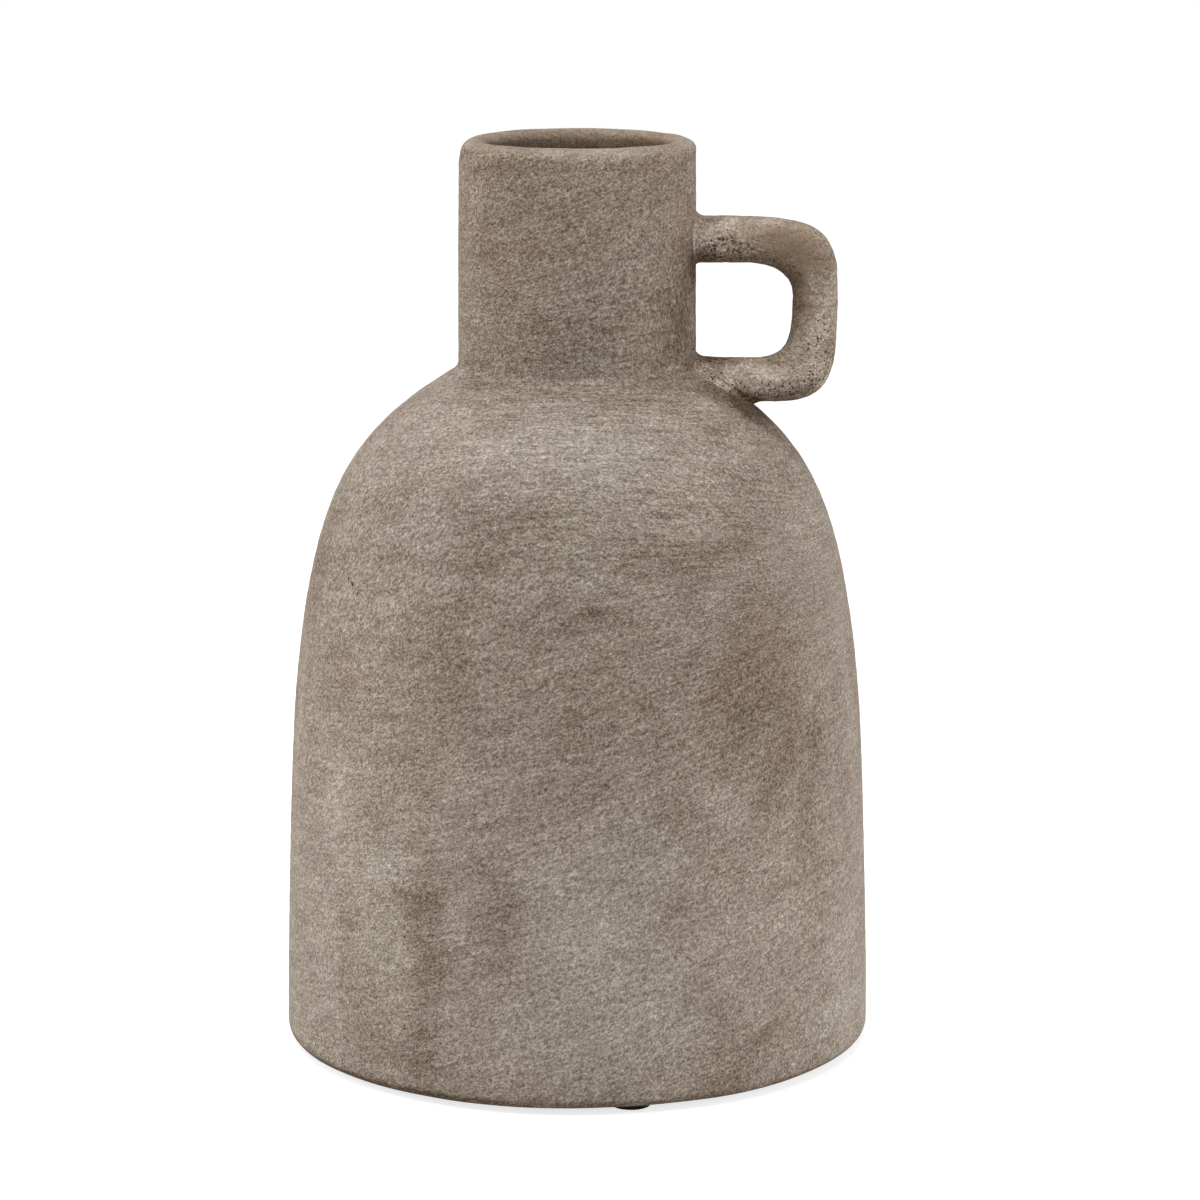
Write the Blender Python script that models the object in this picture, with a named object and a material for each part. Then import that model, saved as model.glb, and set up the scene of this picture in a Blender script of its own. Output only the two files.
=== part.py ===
"""A jug vase with one squared loop handle, in metres, +Z up.

The vase is built the way a potter builds it. The body is thrown as one shell with a short
collar at its throat. The neck is thrown apart and stands on the collar, with a spigot at its
foot that drops into a rebate in the collar. The handle's roots are cut to the curve of the neck
and of the shoulder. Round pads are stuck under the foot, each on its adhesive disc.

The origin is on the vase's axis, at the height where the pads meet the table. The handle is on
the +X side, and the first pad is near the front, on the -Y side.
"""

from math import ceil, cos, pi, radians, sin, sqrt, tan

import bmesh
import bpy
import numpy as np
from mathutils import Vector


# Slip joints and glue lines

JOINT_GAP = 0.0003

# Body

FOOT_RADIUS = 0.0970
FOOT_EDGE_RADIUS = 0.0036
FLOOR_THICKNESS = 0.0085
FLOOR_CORNER_RADIUS = 0.0100
BODY_WALL = 0.0070
WALL_LEAN = radians(0.8)
WALL_PULL = 0.1601
SHOULDER_HEIGHT = 0.2229
SHOULDER_SLOPE = radians(30.8)
SHOULDER_PULL = 0.0558
THROAT_FILLET_RADIUS = 0.0050
THROAT_EDGE_RADIUS = 0.0020
COLLAR_HEIGHT = 0.0080

# Neck

NECK_RADIUS = 0.0388
NECK_TAPER = 0.0003
NECK_WALL = 0.0084
NECK_HEIGHT = 0.0664
LIP_RISE = 0.0040
SPIGOT_LENGTH = 0.0050
SPIGOT_WALL = 0.0040

# Handle

HANDLE_REACH = 0.0461
HANDLE_TOP_DROP = 0.0249
HANDLE_SEAT_DROP = 0.0111
TOP_ARM_THICKNESS = 0.0155
GRIP_THICKNESS = 0.0148
LOW_ARM_THICKNESS = 0.0143
HANDLE_WIDTH = 0.0170
TOP_BEND_OUTER_REACH = 0.0300
TOP_BEND_INNER_REACH = 0.0150
LOW_BEND_OUTER_REACH = 0.0210
LOW_BEND_INNER_REACH = 0.0125
TOP_BEND_OUTER_FULLNESS = 0.85
TOP_BEND_INNER_FULLNESS = 0.78
LOW_BEND_FULLNESS = 0.72
SECTION_SQUARENESS = 2.4
ROOT_FILLET_RADIUS = 0.0030
ROOT_SINK = 0.0008

# Pads

PAD_COUNT = 3
PAD_RADIUS = 0.00635
PAD_THICKNESS = 0.0012
PAD_EDGE_BEVEL = 0.0003
PAD_INSET = 0.0122
FIRST_PAD_ANGLE = radians(-78.4)
ADHESIVE_RADIUS = 0.0060
ADHESIVE_THICKNESS = 0.0003

# Fineness of the solids

TURNED_STEPS = 64
PAD_STEPS = 28
WALL_POINTS = 18
INNER_WALL_POINTS = 12
ARC_STEP = radians(22.5)
SECTION_POINTS = 20
BEND_STATIONS = 9
FILLET_RINGS = 4
MERGE_DISTANCE = 0.00001
SHARP_ANGLE = radians(35.0)

# Colours, as linear red, green and blue

CLAY_COLOUR = (0.287, 0.234, 0.188)
PAD_COLOUR = (0.012, 0.012, 0.012)
ADHESIVE_COLOUR = (0.60, 0.58, 0.52)

# Heights and radii that follow from the sizes above

FOOT_Z = PAD_THICKNESS + JOINT_GAP + ADHESIVE_THICKNESS + JOINT_GAP
THROAT_Z = FOOT_Z + SHOULDER_HEIGHT
COLLAR_Z = THROAT_Z + COLLAR_HEIGHT
LIP_Z = COLLAR_Z + JOINT_GAP + NECK_HEIGHT
BORE_RADIUS = NECK_RADIUS - NECK_WALL
PAD_CIRCLE_RADIUS = FOOT_RADIUS - PAD_INSET


def clear_scene():
    """Remove every object of the scene."""
    for old in list(bpy.data.objects):
        bpy.data.objects.remove(old, do_unlink=True)


def make_material(name, colour, roughness):
    """Return a plain, non-metallic material."""
    material = bpy.data.materials.new(name)
    material.use_nodes = True
    shader = material.node_tree.nodes["Principled BSDF"]
    shader.inputs["Base Color"].default_value = (*colour, 1.0)
    shader.inputs["Roughness"].default_value = roughness
    shader.inputs["Metallic"].default_value = 0.0
    return material


def add_piece(name, bm, material):
    """Turn a finished bmesh into a smooth-shaded object of the scene."""
    mesh = bpy.data.meshes.new(name)
    bmesh.ops.recalc_face_normals(bm, faces=bm.faces)
    bm.to_mesh(mesh)
    bm.free()
    mesh.shade_smooth()
    mesh.set_sharp_from_angle(angle=SHARP_ANGLE)
    if material is not None:
        mesh.materials.append(material)
    piece = bpy.data.objects.new(name, mesh)
    bpy.context.scene.collection.objects.link(piece)
    return piece


def turned(name, outline, steps, material, closed=False):
    """Turn an outline of (radius, height) points about the Z axis into one closed solid."""
    bm = bmesh.new()
    verts = [bm.verts.new((point.x, 0.0, point.y)) for point in outline]
    edges = [bm.edges.new(pair) for pair in zip(verts, verts[1:])]
    if closed:
        edges.append(bm.edges.new((verts[-1], verts[0])))
    bmesh.ops.spin(
        bm,
        geom=verts + edges,
        axis=(0.0, 0.0, 1.0),
        cent=(0.0, 0.0, 0.0),
        angle=2 * pi,
        steps=steps,
        use_merge=True,
    )
    bmesh.ops.remove_doubles(bm, verts=bm.verts, dist=MERGE_DISTANCE)
    return add_piece(name, bm, material)


def bezier(start, start_pull, end_pull, end, count):
    """Return count + 1 points of a cubic curve, both ends included."""
    points = []
    for step in range(count + 1):
        t = step / count
        s = 1.0 - t
        points.append(s**3 * start + 3 * s * s * t * start_pull + 3 * s * t * t * end_pull + t**3 * end)
    return points


def arc(centre, radius, start_angle, end_angle):
    """Return the points of a circular arc, both ends included."""
    count = max(2, ceil(abs(end_angle - start_angle) / ARC_STEP))
    angles = [start_angle + (end_angle - start_angle) * step / count for step in range(count + 1)]
    return [centre + radius * Vector((cos(angle), sin(angle))) for angle in angles]


def shoulder_way():
    """Return the way the shoulder climbs where it reaches the throat, as (radius, height)."""
    return Vector((-cos(SHOULDER_SLOPE), sin(SHOULDER_SLOPE)))


def round_reach(radius):
    """Return how far a rounding between the shoulder and an upright reaches from their corner."""
    return radius * tan((pi / 2 - SHOULDER_SLOPE) / 2)


def throat_rounding(radius, corner):
    """Return the arc that joins the climbing shoulder to an upright above the corner."""
    centre = corner + Vector((radius, round_reach(radius)))
    return arc(centre, radius, -pi / 2 - SHOULDER_SLOPE, -pi)


def wall_curve(count):
    """Return the body's outer curve, from above the foot's edge to the throat's fillet."""
    foot = Vector((FOOT_RADIUS, FOOT_Z + FOOT_EDGE_RADIUS))
    throat = Vector((NECK_RADIUS, THROAT_Z)) - shoulder_way() * round_reach(THROAT_FILLET_RADIUS)
    foot_pull = foot + WALL_PULL * Vector((-sin(WALL_LEAN), cos(WALL_LEAN)))
    throat_pull = throat - SHOULDER_PULL * shoulder_way()
    return bezier(foot, foot_pull, throat_pull, throat, count)


def offset_inwards(points, distance):
    """Return an outline that climbs the outer side, moved towards the axis by a distance."""
    moved = []
    last = len(points) - 1
    for index, point in enumerate(points):
        along = (points[min(index + 1, last)] - points[max(index - 1, 0)]).normalized()
        moved.append(point + distance * Vector((-along.y, along.x)))
    return moved


def body_outer_outline():
    """Return the body's outer side, from the foot's flat face up to the collar's rim."""
    edge_centre = Vector((FOOT_RADIUS - FOOT_EDGE_RADIUS, FOOT_Z + FOOT_EDGE_RADIUS))
    foot_edge = arc(edge_centre, FOOT_EDGE_RADIUS, -pi / 2, 0.0)
    fillet = throat_rounding(THROAT_FILLET_RADIUS, Vector((NECK_RADIUS, THROAT_Z)))
    return foot_edge[:-1] + wall_curve(WALL_POINTS)[:-1] + fillet + [Vector((NECK_RADIUS, COLLAR_Z))]


def body_inner_outline():
    """Return the body's inner side, from the floor's middle up to the collar's rim."""
    floor_z = FOOT_Z + FLOOR_THICKNESS
    corner_top = floor_z + FLOOR_CORNER_RADIUS
    wall = offset_inwards(wall_curve(INNER_WALL_POINTS), BODY_WALL)
    wall = [point for point in wall if point.y > corner_top]
    corner_centre = Vector((wall[0].x - FLOOR_CORNER_RADIUS, corner_top))
    floor_corner = arc(corner_centre, FLOOR_CORNER_RADIUS, -pi / 2, 0.0)
    to_bore = (wall[-1].x - BORE_RADIUS) / cos(SHOULDER_SLOPE)
    throat_edge = throat_rounding(THROAT_EDGE_RADIUS, wall[-1] + shoulder_way() * to_bore)
    ledge_z = COLLAR_Z - SPIGOT_LENGTH
    rebate_radius = BORE_RADIUS + SPIGOT_WALL + JOINT_GAP
    rebate = [
        Vector((BORE_RADIUS, ledge_z)),
        Vector((rebate_radius, ledge_z)),
        Vector((rebate_radius, COLLAR_Z)),
    ]
    return [Vector((0.0, floor_z))] + floor_corner + wall + throat_edge + rebate


def make_body(clay):
    """Make the body: floor, wall, shoulder and collar in one shell."""
    foot_middle = Vector((0.0, FOOT_Z))
    outline = body_inner_outline() + list(reversed(body_outer_outline())) + [foot_middle]
    return turned("body", outline, TURNED_STEPS, clay)


def make_neck(clay):
    """Make the neck, a tube with a round lip and a spigot at its foot."""
    half_lip = (NECK_WALL - NECK_TAPER) / 2
    lip_centre = Vector((BORE_RADIUS + half_lip, LIP_Z - LIP_RISE))
    lip_steps = ceil(pi / ARC_STEP)
    lip = []
    for step in range(lip_steps + 1):
        angle = pi - pi * step / lip_steps
        lip.append(lip_centre + Vector((half_lip * cos(angle), LIP_RISE * sin(angle))))
    seat_z = COLLAR_Z + JOINT_GAP
    spigot_z = seat_z - SPIGOT_LENGTH
    spigot_radius = BORE_RADIUS + SPIGOT_WALL
    foot = [
        Vector((NECK_RADIUS, seat_z)),
        Vector((spigot_radius, seat_z)),
        Vector((spigot_radius, spigot_z)),
        Vector((BORE_RADIUS, spigot_z)),
    ]
    return turned("neck", lip + foot, TURNED_STEPS, clay, closed=True)


def vessel_outline():
    """Return the outer side of body and neck together, from the foot to the lip."""
    return body_outer_outline() + [Vector((NECK_RADIUS - NECK_TAPER, LIP_Z - LIP_RISE))]


def make_saddle_cutter():
    """Make the guide that cuts the handle's roots to the curves of shoulder and neck."""
    outline = offset_inwards(vessel_outline(), -JOINT_GAP)
    bottom = Vector((0.0, outline[0].y))
    top = Vector((0.0, outline[-1].y))
    cutter = turned("saddle_cutter", [bottom] + outline + [top], TURNED_STEPS, None)
    cutter.hide_render = True
    cutter.display_type = "WIRE"
    return cutter


def surface_x(y, z):
    """Return how far along +X the vase's outer side lies at this width and height."""
    outline = vessel_outline()
    radius = np.interp(z, [point.y for point in outline], [point.x for point in outline])
    return sqrt(max(radius * radius - y * y, 0.0))


def bend(corner, start_way, end_way, reach, fullness):
    """Return the points of a soft bend that replaces a square corner."""
    start = corner + start_way * reach
    end = corner + end_way * reach
    start_pull = start - start_way * reach * fullness
    end_pull = end - end_way * reach * fullness
    return bezier(start, start_pull, end_pull, end, BEND_STATIONS)


def handle_side(grip_x, top_z, low_z, top_reach, top_fullness, low_reach):
    """Return one side of the handle's loop, from the top arm round to the low arm.

    The two bends share the grip's length, and the low bend ends before the shoulder.
    """
    inwards = Vector((-1.0, 0.0))
    up = Vector((0.0, 1.0))
    share = min(1.0, (top_z - low_z) / (top_reach + low_reach))
    room = grip_x - surface_x(0.0, low_z) - ROOT_FILLET_RADIUS
    top_corner = Vector((grip_x, top_z))
    low_corner = Vector((grip_x, low_z))
    top_bend = bend(top_corner, inwards, -up, top_reach * share, top_fullness)
    low_bend = bend(low_corner, up, inwards, min(low_reach * share, room), LOW_BEND_FULLNESS)
    return top_bend + low_bend


def signed_power(value, power):
    """Return a power of a number that keeps its sign."""
    return abs(value) ** power * (1.0 if value > 0.0 else -1.0)


def section(outer, inner):
    """Return the handle's rounded section between two points of its sides.

    Each entry is a point and the way out of the handle there.
    """
    centre = (outer + inner) / 2
    across = (outer - inner).normalized()
    half_thickness = (outer - inner).length / 2
    half_width = HANDLE_WIDTH / 2
    ring = []
    for step in range(SECTION_POINTS):
        angle = 2 * pi * step / SECTION_POINTS
        a = signed_power(cos(angle), 2 / SECTION_SQUARENESS)
        b = signed_power(sin(angle), 2 / SECTION_SQUARENESS)
        middle = centre + across * a * half_thickness
        point = Vector((middle.x, b * half_width, middle.y))
        steep_across = across * signed_power(a, SECTION_SQUARENESS - 1) / half_thickness
        steep_width = signed_power(b, SECTION_SQUARENESS - 1) / half_width
        way = Vector((steep_across.x, steep_width, steep_across.y)).normalized()
        ring.append((point, way))
    return ring


def root_rings(ring):
    """Return the rings that flare an arm out onto the vase, from the arm to inside the wall."""
    rings = []
    for step in range(FILLET_RINGS + 1):
        turn = pi / 2 * step / FILLET_RINGS
        flare = ROOT_FILLET_RADIUS * (1 - cos(turn))
        stand = ROOT_FILLET_RADIUS * (1 - sin(turn)) - ROOT_SINK * step / FILLET_RINGS
        flared = [point + way * flare for point, way in ring]
        rings.append([Vector((surface_x(p.y, p.z) + stand, p.y, p.z)) for p in flared])
    rings.append([Vector((BORE_RADIUS, p.y, p.z)) for p in rings[-1]])
    return rings


def loft(name, rings, material):
    """Skin a row of rings and close both ends."""
    bm = bmesh.new()
    rows = [[bm.verts.new(point) for point in ring] for ring in rings]
    count = len(rows[0])
    for row, next_row in zip(rows, rows[1:]):
        for index in range(count):
            after = (index + 1) % count
            bm.faces.new((row[index], row[after], next_row[after], next_row[index]))
    bm.faces.new(rows[0])
    bm.faces.new(reversed(rows[-1]))
    return add_piece(name, bm, material)


def make_handle(clay):
    """Make the loop handle and cut its roots to the neck and the shoulder."""
    grip_x = NECK_RADIUS + HANDLE_REACH
    top_z = LIP_Z - HANDLE_TOP_DROP
    low_z = THROAT_Z - HANDLE_SEAT_DROP
    outer = handle_side(
        grip_x,
        top_z,
        low_z,
        TOP_BEND_OUTER_REACH,
        TOP_BEND_OUTER_FULLNESS,
        LOW_BEND_OUTER_REACH,
    )
    inner = handle_side(
        grip_x - GRIP_THICKNESS,
        top_z - TOP_ARM_THICKNESS,
        low_z + LOW_ARM_THICKNESS,
        TOP_BEND_INNER_REACH,
        TOP_BEND_INNER_FULLNESS,
        LOW_BEND_INNER_REACH,
    )
    top_root = section(Vector((grip_x, top_z)), Vector((grip_x, top_z - TOP_ARM_THICKNESS)))
    low_root = section(Vector((grip_x, low_z)), Vector((grip_x, low_z + LOW_ARM_THICKNESS)))
    loop = [[point for point, way in section(*pair)] for pair in zip(outer, inner)]
    rings = list(reversed(root_rings(top_root))) + loop + root_rings(low_root)
    handle = loft("handle", rings, clay)
    saddle = handle.modifiers.new("saddle", "BOOLEAN")
    saddle.operation = "DIFFERENCE"
    saddle.solver = "EXACT"
    saddle.object = make_saddle_cutter()
    return handle


def disc_outline(radius, thickness, bevel):
    """Return the outline of a disc that lies on the table, its edges bevelled."""
    return [
        Vector((0.0, 0.0)),
        Vector((radius - bevel, 0.0)),
        Vector((radius, bevel)),
        Vector((radius, thickness - bevel)),
        Vector((radius - bevel, thickness)),
        Vector((0.0, thickness)),
    ]


def make_pads(rubber, adhesive):
    """Make the pads under the foot and the adhesive disc on top of each."""
    pad_outline = disc_outline(PAD_RADIUS, PAD_THICKNESS, PAD_EDGE_BEVEL)
    adhesive_outline = [
        Vector((0.0, 0.0)),
        Vector((ADHESIVE_RADIUS, 0.0)),
        Vector((ADHESIVE_RADIUS, ADHESIVE_THICKNESS)),
        Vector((0.0, ADHESIVE_THICKNESS)),
    ]
    for index in range(PAD_COUNT):
        angle = FIRST_PAD_ANGLE + 2 * pi * index / PAD_COUNT
        x = PAD_CIRCLE_RADIUS * cos(angle)
        y = PAD_CIRCLE_RADIUS * sin(angle)
        pad = turned(f"pad_{index + 1}", pad_outline, PAD_STEPS, rubber)
        pad.location = (x, y, 0.0)
        glue = turned(f"pad_adhesive_{index + 1}", adhesive_outline, PAD_STEPS, adhesive)
        glue.location = (x, y, PAD_THICKNESS + JOINT_GAP)


def main():
    """Build the vase."""
    clear_scene()
    clay = make_material("grey_brown_clay", CLAY_COLOUR, 0.92)
    rubber = make_material("dark_rubber", PAD_COLOUR, 0.6)
    adhesive = make_material("adhesive", ADHESIVE_COLOUR, 0.5)
    make_body(clay)
    make_neck(clay)
    make_handle(clay)
    make_pads(rubber, adhesive)


main()
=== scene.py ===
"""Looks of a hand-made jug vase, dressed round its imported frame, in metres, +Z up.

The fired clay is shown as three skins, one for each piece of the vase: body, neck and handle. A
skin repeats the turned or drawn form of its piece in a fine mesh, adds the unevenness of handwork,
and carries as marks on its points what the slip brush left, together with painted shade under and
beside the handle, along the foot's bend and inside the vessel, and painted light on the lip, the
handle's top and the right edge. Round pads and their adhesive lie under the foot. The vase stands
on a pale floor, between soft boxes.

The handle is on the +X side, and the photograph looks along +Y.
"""

import logging
import random
from dataclasses import dataclass, field
from enum import Enum
from math import copysign, cos, hypot, pi, radians, sin, tan
from typing import Callable, Optional, Sequence, Union

import bpy
import numpy as np
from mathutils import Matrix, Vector, noise
from mathutils.bvhtree import BVHTree


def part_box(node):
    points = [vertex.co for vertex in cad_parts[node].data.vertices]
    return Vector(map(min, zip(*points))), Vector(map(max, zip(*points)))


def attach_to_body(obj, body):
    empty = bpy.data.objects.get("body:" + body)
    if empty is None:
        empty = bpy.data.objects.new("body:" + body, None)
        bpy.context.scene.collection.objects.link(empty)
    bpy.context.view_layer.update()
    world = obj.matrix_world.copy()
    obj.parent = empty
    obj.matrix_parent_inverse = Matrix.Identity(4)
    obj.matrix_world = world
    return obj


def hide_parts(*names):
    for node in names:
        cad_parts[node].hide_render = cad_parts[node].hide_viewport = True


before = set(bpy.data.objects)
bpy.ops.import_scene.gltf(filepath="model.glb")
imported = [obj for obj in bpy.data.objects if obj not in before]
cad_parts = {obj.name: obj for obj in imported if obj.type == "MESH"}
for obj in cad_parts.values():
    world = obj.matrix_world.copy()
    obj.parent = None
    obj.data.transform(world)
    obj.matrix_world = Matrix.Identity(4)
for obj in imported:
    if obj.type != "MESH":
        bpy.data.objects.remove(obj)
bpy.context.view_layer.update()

LOG = logging.getLogger("jug_vase")
MM = 0.001
ON_AXIS = 1e-7

# The seed of Blender's vector noise, which would otherwise follow the clock

NOISE_SEED = 2

Outline = list[Vector]
Piece = bpy.types.Object
Socket = bpy.types.NodeSocket
Source = Union[Socket, float, Sequence[float]]


class ClayNode(Enum):
    """The fired pieces of the frame that a skin stands for."""

    BODY = "body"
    NECK = "neck"
    HANDLE = "handle"


class Tone(Enum):
    """How far a patch of slip, or of painted shade or light, is from the clay's usual tone, as a share of
    the full swing.
    """

    # The crease and root tones are painted shade, cast by the handle on the neck and shoulder
    CREASE = -2.60
    SEAM = -1.60
    DEEP = -0.95
    DARK = -0.70
    DUSKY = -0.48
    DIM = -0.30
    FAINT = -0.15
    SOFT = 0.28
    LIGHT = 0.48
    PALE = 0.75


class Mark(Enum):
    """Names of the values that a skin's points carry for its finish."""

    TONE = "tone"
    STROKE = "stroke"
    BRUSHED = "brushed"
    RUBBED = "rubbed"
    PITTED = "pitted"
    BROWNED = "browned"


# Patches on the front by tone, each with its angle, height, length, width and lean. Most are
# patches of slip. The crease and root tones, and the darker patches close under and beside the
# handle's roots, are painted shade cast by the handle; the upright lighter bands low on the right
# edge are painted light of the right soft box.

FRONT_PATCHES = {
    Tone.CREASE: (
        # Painted shade in the crease under the handle, and beside its upper root on the neck
        (79, 260, 14, 12, 90), (90, 213, 26, 15, 0), (79, 214, 18, 8, -32),
    ),
    Tone.SEAM: (
        # Painted shade where the low arm meets the shoulder
        (74, 219, 22, 9, -30),
    ),
    Tone.DEEP: (
        (41, 101, 20, 8, 58), (5, 158, 22, 5, -12), (18, 68, 14, 6, 75), (40, 224, 26, 9, -8),
        # (64, 250), (68, 215) and (82, 228) are painted shade of the handle on the neck and shoulder
        (-45, 224, 24, 9, 8), (55, 113, 14, 10, 60), (64, 250, 40, 16, 90), (68, 215, 26, 8, -47),
        (82, 228, 20, 14, 0),
    ),
    Tone.DARK: (
        (-32, 66, 30, 13, 100), (-29, 46, 24, 10, 100), (-30, 22, 36, 11, 88), (-15, 68, 32, 10, 95),
        (-21, 76, 22, 9, 15), (36, 130, 40, 28, 75), (23, 176, 27, 8, -5), (38, 179, 26, 9, 35),
        # (50, 237), (75, 210), (75, 208) and (84, 202) are painted shade of the handle
        (37, 18, 32, 7, 50), (-77, 163, 50, 22, 90), (50, 90, 24, 13, 80), (50, 237, 30, 14, 20),
        (75, 210, 12, 9, 0), (75, 208, 20, 9, -60), (84, 202, 20, 16, 0),
    ),
    Tone.DUSKY: (
        (-34, 12, 32, 12, 0), (-45, 22, 30, 14, 80), (-28, 75, 24, 9, 95), (-38, 67, 26, 8, 5),
        (43, 152, 52, 32, 75), (45, 114, 18, 12, 60), (-25, 147, 36, 10, 88), (-21, 182, 26, 18, 0),
        (-42, 174, 36, 5, 8), (14, 181, 20, 7, 8), (27, 32, 22, 12, 100), (28, 13, 26, 13, 60),
        # (59, 197), (47, 252), (64, 226), (89, 203) and (50, 213) are painted shade of the handle
        (-36, 109, 14, 7, 20), (-40, 93, 11, 7, 40), (21, 97, 24, 11, 15), (59, 197, 32, 20, 40),
        (-34, 149, 34, 22, 80), (-51, 192, 26, 16, 20), (-2, 223, 60, 8, 0), (47, 252, 20, 12, 90),
        (-63, 227, 10, 10, 0), (41, 5, 16, 6, 0), (-29, 192, 8, 12, 0), (64, 226, 14, 12, 0),
        (27, 196, 16, 11, 0), (-54, 136, 16, 9, 0), (89, 203, 46, 28, 0), (50, 213, 34, 16, -25),
        (-25, 269, 12, 14, 0), (25, 170, 13, 11, 0), (-6, 175, 20, 9, 90), (17, 173, 15, 9, 0),
        (-26, 47, 10, 13, 0), (-16, 188, 16, 9, 0), (-63, 164, 12, 15, 0), (-82, 198, 48, 13, 90),
        (-20, 51, 20, 14, 90), (54, 65, 24, 10, 90), (-29, 216, 16, 10, 0), (41, 221, 22, 8, 0),
        (-24, 176, 16, 8, 0), (-50, 47, 28, 9, 90), (32, 8, 14, 9, 0), (-45, 268, 60, 13, 90),
        (-33, 293, 18, 18, 0), (-84, 296, 34, 10, 0),
    ),
    Tone.DIM: (
        (31, 115, 18, 14, 60), (24, 133, 26, 8, 0), (1, 127, 30, 14, 15), (-14, 158, 16, 13, 0),
        (2, 17, 13, 8, 20), (-29, 110, 12, 5, 60), (49, 128, 40, 16, 85), (45, 196, 18, 12, -30),
        (39, 186, 14, 9, -60), (24, 291, 22, 9, 0), (-8, 278, 12, 9, 0), (3, 187, 44, 7, 0),
        (-72, 132, 20, 10, 90), (30, 79, 34, 22, 0), (-11, 196, 36, 12, 0), (-13, 233, 18, 20, 0),
    ),
    Tone.FAINT: (
        (-26, 132, 30, 14, 90), (8, 140, 100, 66, 10), (0, 242, 44, 14, 0),
    ),
    # (74, 100) and (70, 120) are painted light of the right soft box along the right edge
    Tone.SOFT: (
        (-15, 82, 13, 14, 0), (-59, 45, 38, 24, 90), (-49, 212, 30, 15, 10), (12, 211, 36, 15, 0),
        (6, 203, 60, 16, 0), (-5, 201, 15, 13, 0), (29, 104, 14, 9, 55), (-24, 64, 30, 5, 97),
        (-15, 11, 12, 9, 0), (-1, 21, 18, 22, 0), (4, 51, 96, 54, 0), (-44, 73, 26, 24, 30),
        (46, 170, 16, 14, 0), (74, 100, 34, 12, 90), (12, 257, 40, 14, 0), (55, 17, 22, 13, 0),
        (2, 96, 60, 18, 5), (3, 82, 60, 16, 5), (-20, 104, 14, 12, 0), (-13, 115, 20, 12, 90),
        (70, 120, 80, 12, 90), (-2, 247, 18, 8, 0), (35, 266, 22, 10, 0), (5, 164, 14, 17, 0),
        (0, 285, 46, 10, 0), (-35, 183, 24, 8, 90), (-45, 193, 12, 8, 0), (30, 98, 14, 20, 0),
        (-48, 102, 15, 12, 0), (-37, 92, 28, 8, 90), (1, 68, 17, 11, 0), (5, 39, 15, 12, 0),
        (29, 38, 16, 9, 90),
    ),
    # (66, 35) and (79, 14) are painted light of the right soft box low on the right edge
    Tone.LIGHT: (
        (-36, 76, 12, 9, 0), (-32, 168, 16, 8, 0), (-55, 93, 32, 15, 90), (-23, 209, 32, 15, 0),
        (-3, 213, 28, 12, 0), (31, 92, 12, 9, 0), (-1, 57, 28, 10, 5), (-14, 22, 22, 20, 0),
        (13, 31, 18, 15, 0), (30, 230, 12, 11, 0), (-7, 168, 9, 13, 0), (66, 35, 60, 26, 90),
        (6, 231, 15, 9, 0), (38, 239, 16, 10, 0), (-10, 130, 14, 14, 0), (-76, 108, 36, 10, 90),
        (79, 14, 26, 22, 90),
    ),
    Tone.PALE: (
        # A painted highlight on the front of the lip
        (9, 298, 26, 9, 0),
    ),
}


def smooth_step(low: float, high: float, value: Union[float, np.ndarray]) -> np.ndarray:
    """Rise smoothly from 0 at one value to 1 at another.

    Args:
        low: The value where the step starts.
        high: The value where the step ends.
        value: The value or values to map.

    Returns:
        The steps, from 0 to 1.
    """
    t = np.clip((value - low) / (high - low), 0.0, 1.0)
    return t * t * (3.0 - 2.0 * t)


def signed_power(value: float, power: float) -> float:
    """Raise a value's size to a power and keep its sign."""
    return copysign(abs(value) ** power, value)


def bezier(start: Vector, start_pull: Vector, end_pull: Vector, end: Vector, count: int) -> Outline:
    """Sample a cubic curve.

    Args:
        start: The first point.
        start_pull: The point that the curve heads for at its start.
        end_pull: The point that the curve comes from at its end.
        end: The last point.
        count: The number of steps.

    Returns:
        The points, one more than the steps.
    """
    points = []
    for step in range(count + 1):
        t = step / count
        s = 1.0 - t
        points.append(s**3 * start + 3 * s * s * t * start_pull + 3 * s * t * t * end_pull + t**3 * end)
    return points


def arc(centre: Vector, radius: float, start_angle: float, end_angle: float, count: int) -> Outline:
    """Sample a circular arc in the (radius, height) plane.

    Args:
        centre: The arc's centre.
        radius: Its radius.
        start_angle: Where it starts, in radians.
        end_angle: Where it ends, in radians.
        count: The number of steps.

    Returns:
        The points, one more than the steps.
    """
    angles = [start_angle + (end_angle - start_angle) * step / count for step in range(count + 1)]
    return [centre + radius * Vector((cos(angle), sin(angle))) for angle in angles]


def straight(start: Vector, end: Vector, spacing: float) -> Outline:
    """Sample a straight run with steps of about this spacing, without its last point."""
    count = max(1, round((end - start).length / spacing))
    return [start.lerp(end, step / count) for step in range(count)]


def climbs(outline: Outline) -> np.ndarray:
    """The length along an outline up to each of its points."""
    return np.cumsum([0.0] + [(after - before).length for before, after in zip(outline, outline[1:])])


def turns(spot: Vector, steps: int) -> list:
    """The angles of the ring that a point of an outline makes: one on the axis, else all round."""
    return [2 * pi * step / steps for step in range(1 if spot.x < ON_AXIS else steps)]


def oval(level: np.ndarray, rise: np.ndarray, lean: float, length: float, width: float) -> np.ndarray:
    """Measure from the middle of a leaning oval.

    Args:
        level: How far each point is to the right of the middle, in metres.
        rise: How far it is above the middle, in metres.
        lean: How far the oval leans anticlockwise from level, in degrees.
        length: Its length, in millimetres.
        width: Its width, in millimetres.

    Returns:
        The square of each point's distance, 1 on the oval's edge.
    """
    lean = radians(lean)
    along = level * cos(lean) + rise * sin(lean)
    across = rise * cos(lean) - level * sin(lean)
    return (along / (length * MM / 2)) ** 2 + (across / (width * MM / 2)) ** 2


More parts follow.
